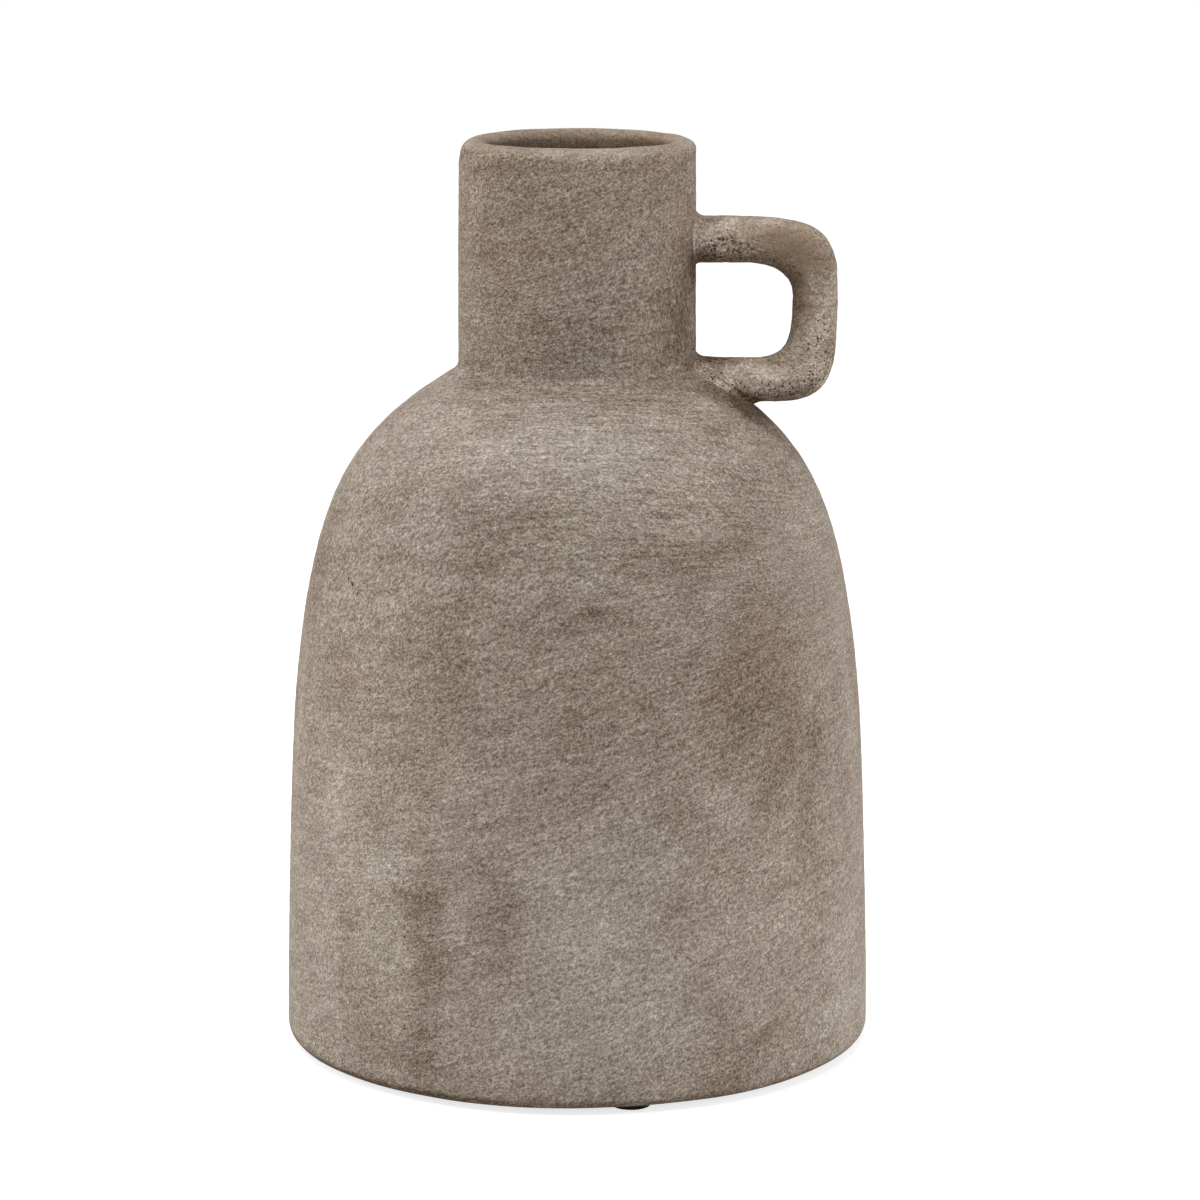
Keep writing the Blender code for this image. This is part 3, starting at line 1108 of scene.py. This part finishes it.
@dataclass(frozen=True)
class Handwork:
    """The unevenness that throwing and drying leave in the clay, as heights along its surface.

    A span says where a form starts and where it is full, down from the lip or in from the foot's
    rim, and radii say the same out from the axis.
    """

    swell: float = 0.22 * MM
    swell_size: float = 46.0 * MM
    dimple: float = 0.08 * MM
    dimple_size: float = 14.0 * MM
    ripple: float = 0.035 * MM
    ripple_pitch: float = 6.5 * MM
    lip_lean: float = 1.1 * MM
    lip_lean_height: float = 8.0 * MM
    lip_wave: float = 0.20 * MM
    lip_wave_size: float = 12.0 * MM
    lip_bulge: float = 0.45 * MM
    bulge_span: tuple = (5.0 * MM, 1.6 * MM)
    bulge_end: float = 1.2 * MM
    bulge_radii: tuple = (34.0 * MM, 37.0 * MM)
    foot_lean: float = 0.40 * MM
    foot_rim_span: tuple = (6.0 * MM, 3.0 * MM)
    foot_lean_height: float = 25.0 * MM

    def swelling(self, point: Vector) -> float:
        """How far the clay swells outwards at a point.

        Args:
            point: A point of the even form.

        Returns:
            The height of the swelling, in metres.
        """
        broad = self.swell * noise.noise(point / self.swell_size)
        small = self.dimple * noise.noise(point / self.dimple_size + Vector((7.0, 3.0, 1.0)))
        drift = noise.noise(point / self.swell_size + Vector((0.0, 11.0, 5.0)))
        ripple = self.ripple * sin(2 * pi * (point.z / self.ripple_pitch + drift))
        return broad + small + ripple

    def lip_shift(self, point: Vector, lip_z: float) -> Vector:
        """How the lip leans in on the side away from the handle, and waves a little.

        Args:
            point: A point of the even form.
            lip_z: The lip's height.

        Returns:
            The shift of that point.
        """
        radius = hypot(point.x, point.y)
        near = smooth_step(lip_z - self.lip_lean_height, lip_z, point.z)
        if near == 0.0 or radius == 0.0:
            return Vector()
        away = max(0.0, -point.x / radius) ** 2
        towards = max(0.0, point.x / radius) ** 2
        inwards = Vector((-point.x, -point.y, 0.0)) / radius
        start, full = self.bulge_span
        below = smooth_step(lip_z - start, lip_z - full, point.z)
        above = smooth_step(lip_z - self.bulge_end, lip_z, point.z)
        outer = smooth_step(*self.bulge_radii, radius)
        bulge = self.lip_bulge * towards * below * (1.0 - above) * outer
        wave = self.lip_wave * noise.noise(Vector((point.x, point.y, 0.0)) / self.lip_wave_size)
        return inwards * (self.lip_lean * away * near - bulge) + Vector((0.0, 0.0, wave * near))

    def foot_shift(self, point: Vector, foot_z: float, foot_radius: float) -> Vector:
        """How the foot's rim dips on the side away from the handle, and lifts on the other.

        Args:
            point: A point of the even form.
            foot_z: The height of the foot's underside.
            foot_radius: The foot's radius.

        Returns:
            The shift of that point.
        """
        start, full = self.foot_rim_span
        rim = smooth_step(foot_radius - start, foot_radius - full, hypot(point.x, point.y))
        low = 1.0 - smooth_step(foot_z, foot_z + self.foot_lean_height, point.z)
        return Vector((0.0, 0.0, self.foot_lean * point.x / foot_radius * rim * low))


@dataclass
class Vessel:
    """The thrown vessel: the skins of body and neck, and how the slip's tone, with painted shade and
    light, runs over them.

    The back's ranges are for a patch's angle, height, length, width and lean. Lights and shades
    are shares of the tone's full swing, and a span says where something starts and where it is
    full. The two bands along the foot's bend, the wider one thin slip and the narrow one painted
    shade, each have their strength, what they gain on the left, and their height. The lip's light
    is a painted highlight, and the deep shade inside is painted shade.
    """

    form: VesselForm
    handwork: Handwork = field(default_factory=Handwork)
    steps: int = 304
    seed: int = 7
    back_patches: int = 34
    back_ranges: tuple = ((85.0, 275.0), (15.0, 215.0), (18.0, 52.0), (8.0, 24.0), (-10.0, 100.0))
    back_tones: tuple = (Tone.DARK, Tone.DUSKY, Tone.DUSKY, Tone.DIM, Tone.SOFT, Tone.LIGHT, Tone.PALE)
    swells: tuple = ((16.0 * MM, 5.0 * MM, 3.0), (5.0 * MM, 2.0 * MM, 9.0))
    dome_sweep: float = 3.4
    wall_sweep: float = 0.33
    dome_start: tuple = (135.0 * MM, 200.0 * MM)
    dome_end: tuple = (215.0 * MM, 275.0 * MM)
    left_span: tuple = (10.0 * MM, 45.0 * MM)
    right_span: tuple = (10.0 * MM, 22.0 * MM)
    tone_limits: tuple = (-3.0, 1.2)
    foot_light: float = 0.28
    foot_light_span: tuple = (70.0 * MM, 115.0 * MM)
    collar_shade: float = 0.42
    # Painted highlight along the lip's top
    lip_painted_highlight: float = 0.40
    bend_share: float = 0.53
    # Bands along the foot's bend: the wider one thin slip, the narrow one painted shade
    bend_thin_slip_and_painted_shade: tuple = ((0.40, 0.25, 3.2 * MM), (0.80, 0.70, 0.9 * MM))
    inner_shade: float = 0.35
    # Painted shade deep inside the vessel
    deep_painted_shade: float = 1.8
    right_shade: float = 0.8

    def outline_radius(self) -> Callable:
        """Follow the wall's outer side.

        Returns:
            A function from height to the wall's radius.
        """
        outline = self.form.body_outside() + [Vector((self.form.neck_radius, self.form.lip_z))]
        outline = [point for point in outline if point.x > self.form.neck_radius - MM]
        radii, heights = zip(*outline)
        return lambda height: float(np.interp(height, heights, radii))

    def rings(self, outline: Outline, closed: bool) -> list:
        """Turn an outline round the axis, with the unevenness of handwork.

        Args:
            outline: The (radius, height) points.
            closed: Whether the outline is a loop.

        Returns:
            One ring of points for each point of the outline.
        """
        form, count, rings = self.form, len(outline), []
        for index, spot in enumerate(outline):
            before = outline[index - 1] if (index or closed) else spot
            after = outline[(index + 1) % count] if (index + 1 < count or closed) else spot
            along = (after - before).normalized()
            ring = []
            for turn in turns(spot, self.steps):
                even = Vector((spot.x * cos(turn), spot.x * sin(turn), spot.y))
                out = Vector((along.y * cos(turn), along.y * sin(turn), -along.x))
                moved = even + out * self.handwork.swelling(even)
                moved += self.handwork.foot_shift(even, form.foot_z, form.foot_radius)
                ring.append(moved + self.handwork.lip_shift(even, form.lip_z))
            rings.append(ring)
        return rings

    def patches(self) -> list:
        """The patches of the front, and others like them scattered over the back.

        Returns:
            All patches, the same ones on each run.
        """
        draw = random.Random(self.seed)
        patches = [Patch(*row, tone) for tone, rows in FRONT_PATCHES.items() for row in rows]
        for _ in range(self.back_patches):
            place = [draw.uniform(low, high) for low, high in self.back_ranges]
            patches.append(Patch(*place, draw.choice(self.back_tones)))
        return patches

    def brushed_tone(self, points: np.ndarray, left: np.ndarray) -> np.ndarray:
        """The slip's tone on the outer side, with its patches, a painted highlight on the lip and the
        darker bands of the foot's bend; some patches and the narrow band are painted shade.

        Args:
            points: The skin's points, one row each.
            left: 1 on the side away from the handle, else 0.

        Returns:
            The tone of each point.
        """
        form = self.form
        x, y, z = points.T
        ragged = raggedness(points, self.swells)
        radius = self.outline_radius()
        tone = np.zeros(len(points))
        for patch in self.patches():
            tone += patch.tone.value * patch.share(points, ragged, radius)
        tone += self.foot_light * (1.0 - smooth_step(*self.foot_light_span, z))
        tone -= self.collar_shade * smooth_step(form.throat.y - 2 * MM, form.collar_z, z)
        # Painted highlight along the lip's top
        tone += self.lip_painted_highlight * smooth_step(form.lip_z - 4 * MM, form.lip_z - 1 * MM, z)
        tone = np.clip(tone, *self.tone_limits)
        # Darker bands along the foot's bend and the underside's rim: the wider one thin slip, the narrow one
        # painted shade
        rim = smooth_step(form.foot_radius - 9 * MM, form.foot_radius - 4 * MM, np.hypot(x, y))
        bend_z = form.foot_z + self.bend_share * form.foot_edge
        for shade, left_shade, height in self.bend_thin_slip_and_painted_shade:
            tone -= (shade + left_shade * left) * rim * (1.0 - smooth_step(bend_z, bend_z + height, z))
        return tone

    def dress(self, piece: Piece, climb: np.ndarray, inside: np.ndarray) -> None:
        """Give a skin's points their marks.

        Args:
            piece: The skin.
            climb: The length along the outline up to each point.
            inside: 1 for the points of the vessel's inner side, else 0.
        """
        points = point_rows(piece)
        x, _, z = points.T
        lip_z = self.form.lip_z
        left, right = smooth_step(*self.left_span, -x), smooth_step(*self.right_span, x)
        domed = smooth_step(*self.dome_start, z) * (1.0 - smooth_step(*self.dome_end, z))
        deep = 1.0 - smooth_step(lip_z - 7.5 * MM, lip_z - 0.5 * MM, z)
        below_lip = 1.0 - smooth_step(lip_z - 2.8 * MM, lip_z - 1.0 * MM, z)
        lip = smooth_step(lip_z - 3 * MM, lip_z - 1 * MM, z)
        tone = self.brushed_tone(points, left) * (1.0 - inside)
        # Inside: a darker tone all over, painted shade deep down the mouth, and a darker band below the lip
        # on the right
        tone -= (self.inner_shade + self.deep_painted_shade * deep + self.right_shade * right * below_lip) * inside
        browned = np.clip(-0.45 * tone, -0.5, 0.3) + (0.3 + 0.4 * right) * inside - 0.6 * domed
        marks = {
            Mark.TONE: tone,
            Mark.STROKE: climb + domed * self.dome_sweep * x * x - (1.0 - domed) * self.wall_sweep * x,
            Mark.BRUSHED: (0.55 + domed * (0.45 - 0.55 * left)) * (1.0 - 0.5 * inside),
            Mark.RUBBED: np.maximum(0.5 * lip, 0.6 * inside),
            Mark.PITTED: np.zeros(len(points)),
            Mark.BROWNED: browned,
        }
        set_marks(piece, marks)

    def make_body(self, material: bpy.types.Material) -> Piece:
        """Make the body's skin.

        Args:
            material: The slip.

        Returns:
            The skin, closed all round its wall.
        """
        outside = self.form.body_outside()
        outline = outside + self.form.body_inside()
        rings = self.rings(outline, closed=False)
        piece = new_skin("body_skin", *join_rings(rings), material)
        sizes = [len(ring) for ring in rings]
        inside = np.repeat(np.arange(len(outline)) >= len(outside), sizes)
        self.dress(piece, np.repeat(climbs(outline), sizes), inside.astype(float))
        return piece

    def make_neck(self, material: bpy.types.Material) -> Piece:
        """Make the neck's skin.

        Args:
            material: The slip.

        Returns:
            The skin, closed all round its wall.
        """
        form = self.form
        loop = form.neck_loop()
        piece = new_skin("neck_skin", *join_rings(self.rings(loop, closed=True), closed=True), material)
        climb = climbs(form.body_outside())[-1] + np.repeat(climbs(loop), self.steps)
        radii = np.hypot(*point_rows(piece)[:, :2].T)
        inside = 1.0 - smooth_step(form.bore + 0.5 * MM, form.bore + form.neck_wall / 2, radii)
        self.dress(piece, climb, inside)
        return piece


@dataclass(frozen=True)
class Bend:
    """A softly rounded corner of the loop: its reach along the arm and the grip, and its fullness."""

    along: float
    upright: float
    fullness: float

    def points(self, corner: Vector, arm_way: Vector, grip_way: Vector, count: int) -> Outline:
        """Round the corner, from the arm to the grip.

        Args:
            corner: The corner.
            arm_way: The way from the corner along the arm.
            grip_way: The way from the corner along the grip.
            count: The number of steps.

        Returns:
            The bend's points.
        """
        start = corner + arm_way * self.along
        end = corner + grip_way * self.upright
        start_pull = corner + arm_way * self.along * (1.0 - self.fullness)
        end_pull = corner + grip_way * self.upright * (1.0 - self.fullness)
        return bezier(start, start_pull, end_pull, end, count)


# Soft spots on the handle by mark, each with its x, z, length, width, lean and value. The darker
# tone spots along the arms' undersides, the low arm's top and the grip's inner side are painted
# shade, and the lighter ones along the top arm's top are painted highlight; the other spots are
# the slip's own tone and wear.

HANDLE_SPOTS = {
    Mark.TONE: (
        # (48, 271), (66, 275) and (64, 275) are painted highlight along the top arm's top
        (68, 266, 28, 12, -20, -0.65), (74, 252, 24, 7, 90, -0.55), (79, 260, 16, 10, 70, -0.45),
        (80, 246, 18, 8, 90, 0.50), (84, 259, 22, 5, 90, 0.40), (48, 271, 22, 8, 0, 1.25),
        (62, 224, 32, 8, 8, 1.60), (73, 221, 18, 6, 20, 0.60), (44, 223, 14, 6, -10, 0.80),
        (59, 219, 10, 4, -10, 0.40), (72, 233, 14, 4, 70, 0.70), (42, 267, 12, 5, 0, 0.50),
        (66, 275, 30, 3, -4, 0.45), (79, 236, 28, 9, 92, 1.10), (82, 232, 16, 5, 85, -0.50),
        # (52, 261), (50, 227.5), (63, 229), (41, 229), (40, 261), (71, 247), (67, 259), (45, 227), (45,
        # 262.5) and (70, 215.5) are painted shade
        (66, 270, 30, 6, -8, -0.35), (83, 228, 18, 4, 80, -0.20), (52, 261, 26, 4, 0, -1.10),
        (50, 227.5, 24, 4, 0, -1.40), (63, 229, 18, 2.5, 0, -0.90), (41, 229, 12, 5, 0, -0.90),
        (40, 261, 8, 5, 0, -1.10), (42, 275.5, 14, 3, 0, -0.80), (71, 247, 24, 4, 90, -1.10),
        (67, 259, 22, 4, -35, -1.00), (61, 227.5, 14, 5, 0, 0.60), (45, 227, 12, 6, 0, -0.50),
        (45, 262.5, 16, 4, 0, -0.90), (64, 275, 12, 3, -3, 0.80), (70, 215.5, 28, 4, 9, -1.30),
        (83, 226, 20, 5, 75, -0.60),
    ),
    Mark.RUBBED: (
        (67, 267, 30, 13, -20, 1.0), (74, 253, 26, 8, 90, 0.9), (62, 223, 40, 12, 8, 0.30),
        (79, 238, 34, 12, 88, 0.25),
    ),
    Mark.BROWNED: (
        (67, 267, 32, 14, -20, 1.0), (60, 223, 44, 14, 8, 0.9), (79, 238, 30, 12, 90, 0.6),
        (48, 268, 24, 12, 0, 0.6), (73, 250, 28, 6, 90, 0.9),
    ),
    Mark.PITTED: (
        (49, 265, 28, 9, 0, 1.10), (79, 234, 34, 12, 88, 1.00), (64, 219, 44, 9, 8, 1.00),
        (46, 223, 18, 10, 0, 1.00),
    ),
}


@dataclass
class Handle:
    """The squared loop handle, drawn out and pressed onto neck and shoulder.

    Shades are shares of the tone's full swing. A painted shade darkens the handle's outline as seen
    from the front, and another fills the crease, darkest under the low arm's middle, away from the
    neck and close to the vessel's skin.
    """

    form: VesselForm
    grip: float = 14.6 * MM
    top_arm: float = 15.1 * MM
    low_arm: float = 14.2 * MM
    width: float = 17.0 * MM
    top_drop: float = 25.2 * MM
    seat_drop: float = 11.3 * MM
    top_outer: Bend = Bend(36.8 * MM, 25.1 * MM, 0.85)
    top_inner: Bend = Bend(15.8 * MM, 10.9 * MM, 0.62)
    low_outer: Bend = Bend(24.1 * MM, 31.0 * MM, 0.86)
    low_inner: Bend = Bend(14.2 * MM, 15.9 * MM, 0.77)
    squareness: float = 2.4
    root_fillet: float = 3.2 * MM
    top_under_fillet: float = 1.3 * MM
    low_under_fillet: float = 2.4 * MM
    low_spread: float = 0.5 * MM
    root_sink: float = 0.5 * MM
    root_depth: float = 1.5 * MM
    section_points: int = 112
    bend_steps: int = 44
    arm_steps: int = 24
    fillet_rings: int = 12
    lump: float = 0.30 * MM
    lump_size: float = 11.0 * MM
    crumb: float = 0.16 * MM
    crumb_size: float = 1.9 * MM
    swells: tuple = ((8.0 * MM, 3.0 * MM, 5.0), (2.5 * MM, 1.0 * MM, 2.0))
    shade: float = 0.03
    # Painted shade along the outline seen from the front, and in the crease under the low arm
    edge_painted_shade: float = 0.32
    edge_span: tuple = (0.8 * MM, 5.5 * MM)
    crease_painted_shade: float = 2.0
    crease_height: tuple = (-4.0 * MM, -1.0 * MM)
    crease_reach: tuple = (43.0 * MM, 52.0 * MM)
    crease_gap: tuple = (2.5 * MM, 9.0 * MM)
    pitted: float = 0.10
    brushed: float = 0.25

    @property
    def low_z(self) -> float:
        """The height of the low arm's underside."""
        return self.form.throat.y - self.seat_drop

    def side(self, grip_x: float, top_z: float, low_z: float, top: Bend, low: Bend) -> Outline:
        """One side of the loop, from the top arm's root round to the low arm's root.

        Args:
            grip_x: Where the upright grip's side lies.
            top_z: The height of the top arm's side.
            low_z: The height of the low arm's side.
            top: The upper bend.
            low: The lower bend.

        Returns:
            The side's points, as (x, z).
        """
        inwards, up = Vector((-1.0, 0.0)), Vector((0.0, 1.0))
        top_bend = top.points(Vector((grip_x, top_z)), inwards, -up, self.bend_steps)
        low_bend = low.points(Vector((grip_x, low_z)), inwards, up, self.bend_steps)[::-1]
        middle = [top_bend[-1].lerp(low_bend[0], step / self.arm_steps) for step in range(1, self.arm_steps)]
        return top_bend + middle + low_bend

    def section(self, outer: Vector, inner: Vector) -> list:
        """The rounded section between two points of the loop's sides.

        Args:
            outer: The point of the outer side.
            inner: The point of the inner side.

        Returns:
            Pairs of a point and the way out of the clay there.
        """
        centre = (outer + inner) / 2
        across = (outer - inner).normalized()
        half_thickness = (outer - inner).length / 2
        half_width = self.width / 2
        ring = []
        for step in range(self.section_points):
            angle = 2 * pi * step / self.section_points
            a = signed_power(cos(angle), 2 / self.squareness)
            b = signed_power(sin(angle), 2 / self.squareness)
            middle = centre + across * a * half_thickness
            steep_a = signed_power(a, self.squareness - 1) / half_thickness
            steep_b = signed_power(b, self.squareness - 1) / half_width
            way = Vector((across.x * steep_a, steep_b, across.y * steep_a)).normalized()
            ring.append((Vector((middle.x, b * half_width, middle.y)), way))
        return ring

    def fillet_size(self, way: Vector, under: float) -> float:
        """The root's fillet, wide above an arm and of another size under it."""
        return under + (self.root_fillet - under) * (way.z + 1) / 2

    def root(self, ring: list, wall: Callable, under_fillet: float, spread: float) -> list:
        """The rings that run an arm onto the vessel and flare it out there.

        Args:
            ring: The arm's section at its bend.
            wall: Gives how far along +X the vessel's skin lies at a width and height.
            under_fillet: The fillet under the arm.
            spread: How far the arm's top and underside part on the way to the vessel.

        Returns:
            The rings, from the arm to under the vessel's skin.
        """
        rings = []
        for step in range(1, self.arm_steps):
            share = step / self.arm_steps
            line = []
            for point, way in ring:
                z = point.z + spread * way.z * share * share
                end_x = wall(point.y, z) + self.fillet_size(way, under_fillet)
                line.append(Vector((point.x + (end_x - point.x) * share, point.y, z)))
            rings.append(line)
        for step in range(self.fillet_rings + 1):
            turn = pi / 2 * step / self.fillet_rings
            sink = self.root_sink * (step / self.fillet_rings) ** 2
            line = []
            for point, way in ring:
                fillet = self.fillet_size(way, under_fillet)
                flared = point + way * fillet * (1 - cos(turn))
                flared.z += spread * way.z
                flared.x = wall(flared.y, flared.z) + fillet * (1 - sin(turn)) - sink
                line.append(flared)
            rings.append(line)
        return rings + [[point - Vector((self.root_depth, 0.0, 0.0)) for point in rings[-1]]]

    def lumpy(self, ring: Outline, wall: Callable) -> Outline:
        """Press a ring of the loop out of true a little, as fingers do.

        Args:
            ring: The ring.
            wall: Gives how far along +X the vessel's skin lies at a width and height.

        Returns:
            The ring, each point moved by less than the height of a lump.
        """
        middle = sum(ring, Vector()) / len(ring)
        moved = []
        for point in ring:
            free = smooth_step(1.0 * MM, 9.0 * MM, point.x - wall(point.y, point.z))
            lump = self.lump * noise.noise(point / self.lump_size)
            crumb = self.crumb * noise.noise(point / self.crumb_size)
            moved.append(point + (point - middle).normalized() * free * (lump + crumb))
        return moved

    def make(self, skins: Sequence[Piece], material: bpy.types.Material) -> Piece:
        """Make the handle's skin, run onto the skins of body and neck.

        Args:
            skins: The skins that it meets.
            material: The slip.

        Returns:
            The handle's skin.
        """
        trees = [BVHTree.FromObject(skin, bpy.context.evaluated_depsgraph_get()) for skin in skins]
        grip_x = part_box(ClayNode.HANDLE.value)[1].x
        eye_x = grip_x + 10 * MM
        top_z = self.form.lip_z - self.top_drop

        def wall(y: float, z: float) -> float:
            """How far along +X the vessel's skin lies."""
            hits = [tree.ray_cast(Vector((eye_x, y, z)), Vector((-1.0, 0.0, 0.0)))[0] for tree in trees]
            return max(hit.x for hit in hits if hit is not None)

        outer = self.side(grip_x, top_z, self.low_z, self.top_outer, self.low_outer)
        under_z, over_z = top_z - self.top_arm, self.low_z + self.low_arm
        inner = self.side(grip_x - self.grip, under_z, over_z, self.top_inner, self.low_inner)
        sections = [self.section(*pair) for pair in zip(outer, inner)]
        rings = self.root(sections[0], wall, self.top_under_fillet, 0.0)[::-1]
        rings += [[point for point, way in section] for section in sections]
        rings += self.root(sections[-1], wall, self.low_under_fillet, self.low_spread)
        points, faces = join_rings([self.lumpy(ring, wall) for ring in rings])
        faces = [face[::-1] for face in faces]
        last = len(points) - self.section_points
        faces += [tuple(range(self.section_points)), tuple(range(last, len(points)))[::-1]]
        piece = new_skin("handle_skin", points, faces, material)
        self.dress(piece, np.array([point.x - wall(point.y, point.z) for point in points]))
        return piece

    def dress(self, piece: Piece, gaps: np.ndarray) -> None:
        """Give the skin's points their marks, with painted shade along the outline and in the crease under
        the low arm's root.

        Args:
            piece: The skin.
            gaps: How far along +X each point is from the vessel's skin.
        """
        points = point_rows(piece)
        x, y, z = points.T
        # Painted shade in the crease under the low arm's root
        crease = 1.0 - smooth_step(*self.crease_height, z - self.low_z - self.low_arm / 2)
        crease *= smooth_step(*self.crease_reach, x) * (1.0 - smooth_step(*self.crease_gap, gaps))
        # Painted shade along the handle's outline as seen from the front
        edge = 1.0 - smooth_step(*self.edge_span, np.abs(y))
        marks = {mark: np.zeros(len(points)) for mark in Mark}
        marks[Mark.TONE] -= self.shade + self.edge_painted_shade * edge + self.crease_painted_shade * crease
        marks[Mark.PITTED] += self.pitted
        marks[Mark.BRUSHED] += self.brushed
        moved = points + raggedness(points, self.swells)
        for mark, rows in HANDLE_SPOTS.items():
            for spot in (Spot(*row) for row in rows):
                marks[mark] += spot.value * spot.share(moved)
        marks[Mark.RUBBED] = np.clip(marks[Mark.RUBBED] - 0.4 * marks[Mark.PITTED], -0.45, 1.0)
        marks[Mark.PITTED] *= 1.0 - 0.8 * np.clip(marks[Mark.RUBBED], 0.0, 1.0)
        marks[Mark.STROKE] = z
        marks[Mark.BROWNED] += np.clip(-0.35 * marks[Mark.TONE], -0.6, 0.6)
        set_marks(piece, marks)


@dataclass
class FootPads:
    """The round rubber pads and their adhesive discs."""

    edge: float = 0.2 * MM
    edge_steps: int = 5
    steps: int = 96
    count: int = 3

    def pad(self, node: str, rubber: bpy.types.Material) -> Piece:
        """Make the skin of one pad.

        Args:
            node: The node that it stands for.
            rubber: Its material.

        Returns:
            The skin.
        """
        low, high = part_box(node)
        centre = (low + high) / 2
        inset = (high.x - low.x) / 2 - self.edge
        bottom, top = Vector((inset, low.z + self.edge)), Vector((inset, high.z - self.edge))
        outline = [Vector((0.0, low.z)), Vector((inset / 2, low.z))]
        outline += arc(bottom, self.edge, -pi / 2, 0.0, self.edge_steps)
        outline += arc(top, self.edge, 0.0, pi / 2, self.edge_steps)
        outline += [Vector((inset / 2, high.z)), Vector((0.0, high.z))]
        rings = []
        for spot in outline:
            ring = [(spot.x * cos(turn), spot.x * sin(turn)) for turn in turns(spot, self.steps)]
            rings.append([Vector((centre.x + x, centre.y + y, spot.y)) for x, y in ring])
        return new_skin(f"{node}_skin", *join_rings(rings), rubber)

    def make(self, rubber: bpy.types.Material, adhesive: bpy.types.Material) -> list:
        """Make the pads' skins and dress the adhesive.

        Args:
            rubber: The pads' material.
            adhesive: The adhesive's material.

        Returns:
            Pairs of a pad's skin and the node it stands for.
        """
        made = []
        for index in range(1, self.count + 1):
            node = f"pad_{index}"
            made.append((self.pad(node, rubber), node))
            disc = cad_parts[f"pad_adhesive_{index}"]
            disc.data.materials.clear()
            disc.data.materials.append(adhesive)
        return made


class Box(Enum):
    """The soft boxes of the studio."""

    LEFT = "left_box"
    RIGHT = "right_box"
    TOP = "top_box"


@dataclass(frozen=True)
class SoftBox:
    """One soft box: where it hangs, what it points at, its size and its power."""

    name: Box
    place: tuple
    aim: tuple
    width: float
    height: float
    power: float

    def make(self) -> None:
        """Hang the soft box."""
        lamp = bpy.data.lights.new(self.name.value, "AREA")
        lamp.shape = "RECTANGLE"
        lamp.size = self.width
        lamp.size_y = self.height
        lamp.energy = self.power
        box = bpy.data.objects.new(self.name.value, lamp)
        box.location = self.place
        way = Vector(self.aim) - Vector(self.place)
        box.rotation_euler = way.to_track_quat("-Z", "Y").to_euler()
        bpy.context.scene.collection.objects.link(box)


@dataclass
class Studio:
    """A pale floor, a white surround, soft boxes and the photograph's camera."""

    boxes: tuple = (
        SoftBox(Box.LEFT, (-1.1, 0.10, 0.30), (0.0, 0.0, 0.10), 0.8, 0.9, 7.4),
        SoftBox(Box.RIGHT, (1.1, -0.05, 0.18), (0.0, 0.0, 0.05), 0.8, 0.5, 6.2),
        SoftBox(Box.TOP, (-0.15, -0.45, 1.25), (0.0, 0.0, 0.15), 0.8, 0.8, 9.2),
    )
    floor_size: float = 6.0
    ambient: float = 0.55
    camera_place: tuple = (0.0, -1.448, 0.442)
    camera_dip: float = radians(11.51)
    sensor: float = 36.0
    focal: float = 4470.0
    frame_side: float = 1200.0
    axis_column: float = 577.2

    def make_world(self) -> None:
        """Make the surround: white where it is seen, softer where it lights."""
        world = bpy.data.worlds.new("white_surround")
        board = NodeBoard(world)
        strength = board.math("MULTIPLY_ADD", board.lens_ray(), 1.0 - self.ambient, self.ambient)
        background = board.add("Background", {"Color": (1.0, 1.0, 1.0, 1.0), "Strength": strength})
        board.add("OutputWorld", {"Surface": background.outputs[0]})
        bpy.context.scene.world = world

    def make_floor(self) -> Piece:
        """Make the pale floor.

        Returns:
            The floor.
        """
        half = self.floor_size / 2
        corners = [(-half, -half, 0.0), (half, -half, 0.0), (half, half, 0.0), (-half, half, 0.0)]
        return new_skin("studio_floor", corners, [(0, 1, 2, 3)], FloorFinish().material())

    def make_camera(self) -> None:
        """Set up the photograph's camera."""
        lens = bpy.data.cameras.new("photograph_camera")
        lens.sensor_width = self.sensor
        lens.lens = self.focal / self.frame_side * self.sensor
        lens.shift_x = (self.frame_side / 2 - self.axis_column) / self.frame_side
        camera = bpy.data.objects.new("photograph_camera", lens)
        camera.location = self.camera_place
        camera.rotation_euler = (pi / 2 - self.camera_dip, 0.0, 0.0)
        bpy.context.scene.collection.objects.link(camera)
        bpy.context.scene.camera = camera

    def make(self) -> None:
        """Set up the whole studio."""
        self.make_world()
        self.make_floor()
        for box in self.boxes:
            box.make()
        self.make_camera()
        bpy.context.scene.view_settings.view_transform = "Standard"


def attach(piece: Piece, node: str) -> None:
    """Tie a finished piece to the frame and report it.

    Args:
        piece: The piece.
        node: The node that it stands for.
    """
    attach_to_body(piece, "root")
    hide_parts(node)
    LOG.info("%s stands for %s, with %d faces", piece.name, node, len(piece.data.polygons))


def main() -> None:
    """Dress the vase and set up its studio."""
    logging.basicConfig(level=logging.INFO, format="%(name)s: %(message)s")
    form = VesselForm.from_frame()
    vessel = Vessel(form)
    slip = SlipFinish("brushed_slip", vessel.outline_radius()).material()
    body = vessel.make_body(slip)
    neck = vessel.make_neck(slip)
    handle = Handle(form).make([body, neck], slip)
    attach(body, ClayNode.BODY.value)
    attach(neck, ClayNode.NECK.value)
    attach(handle, ClayNode.HANDLE.value)
    for pad, node in FootPads().make(RubberFinish().material(), AdhesiveFinish().material()):
        attach(pad, node)
    Studio().make()


if __name__ == "__main__":
    main()
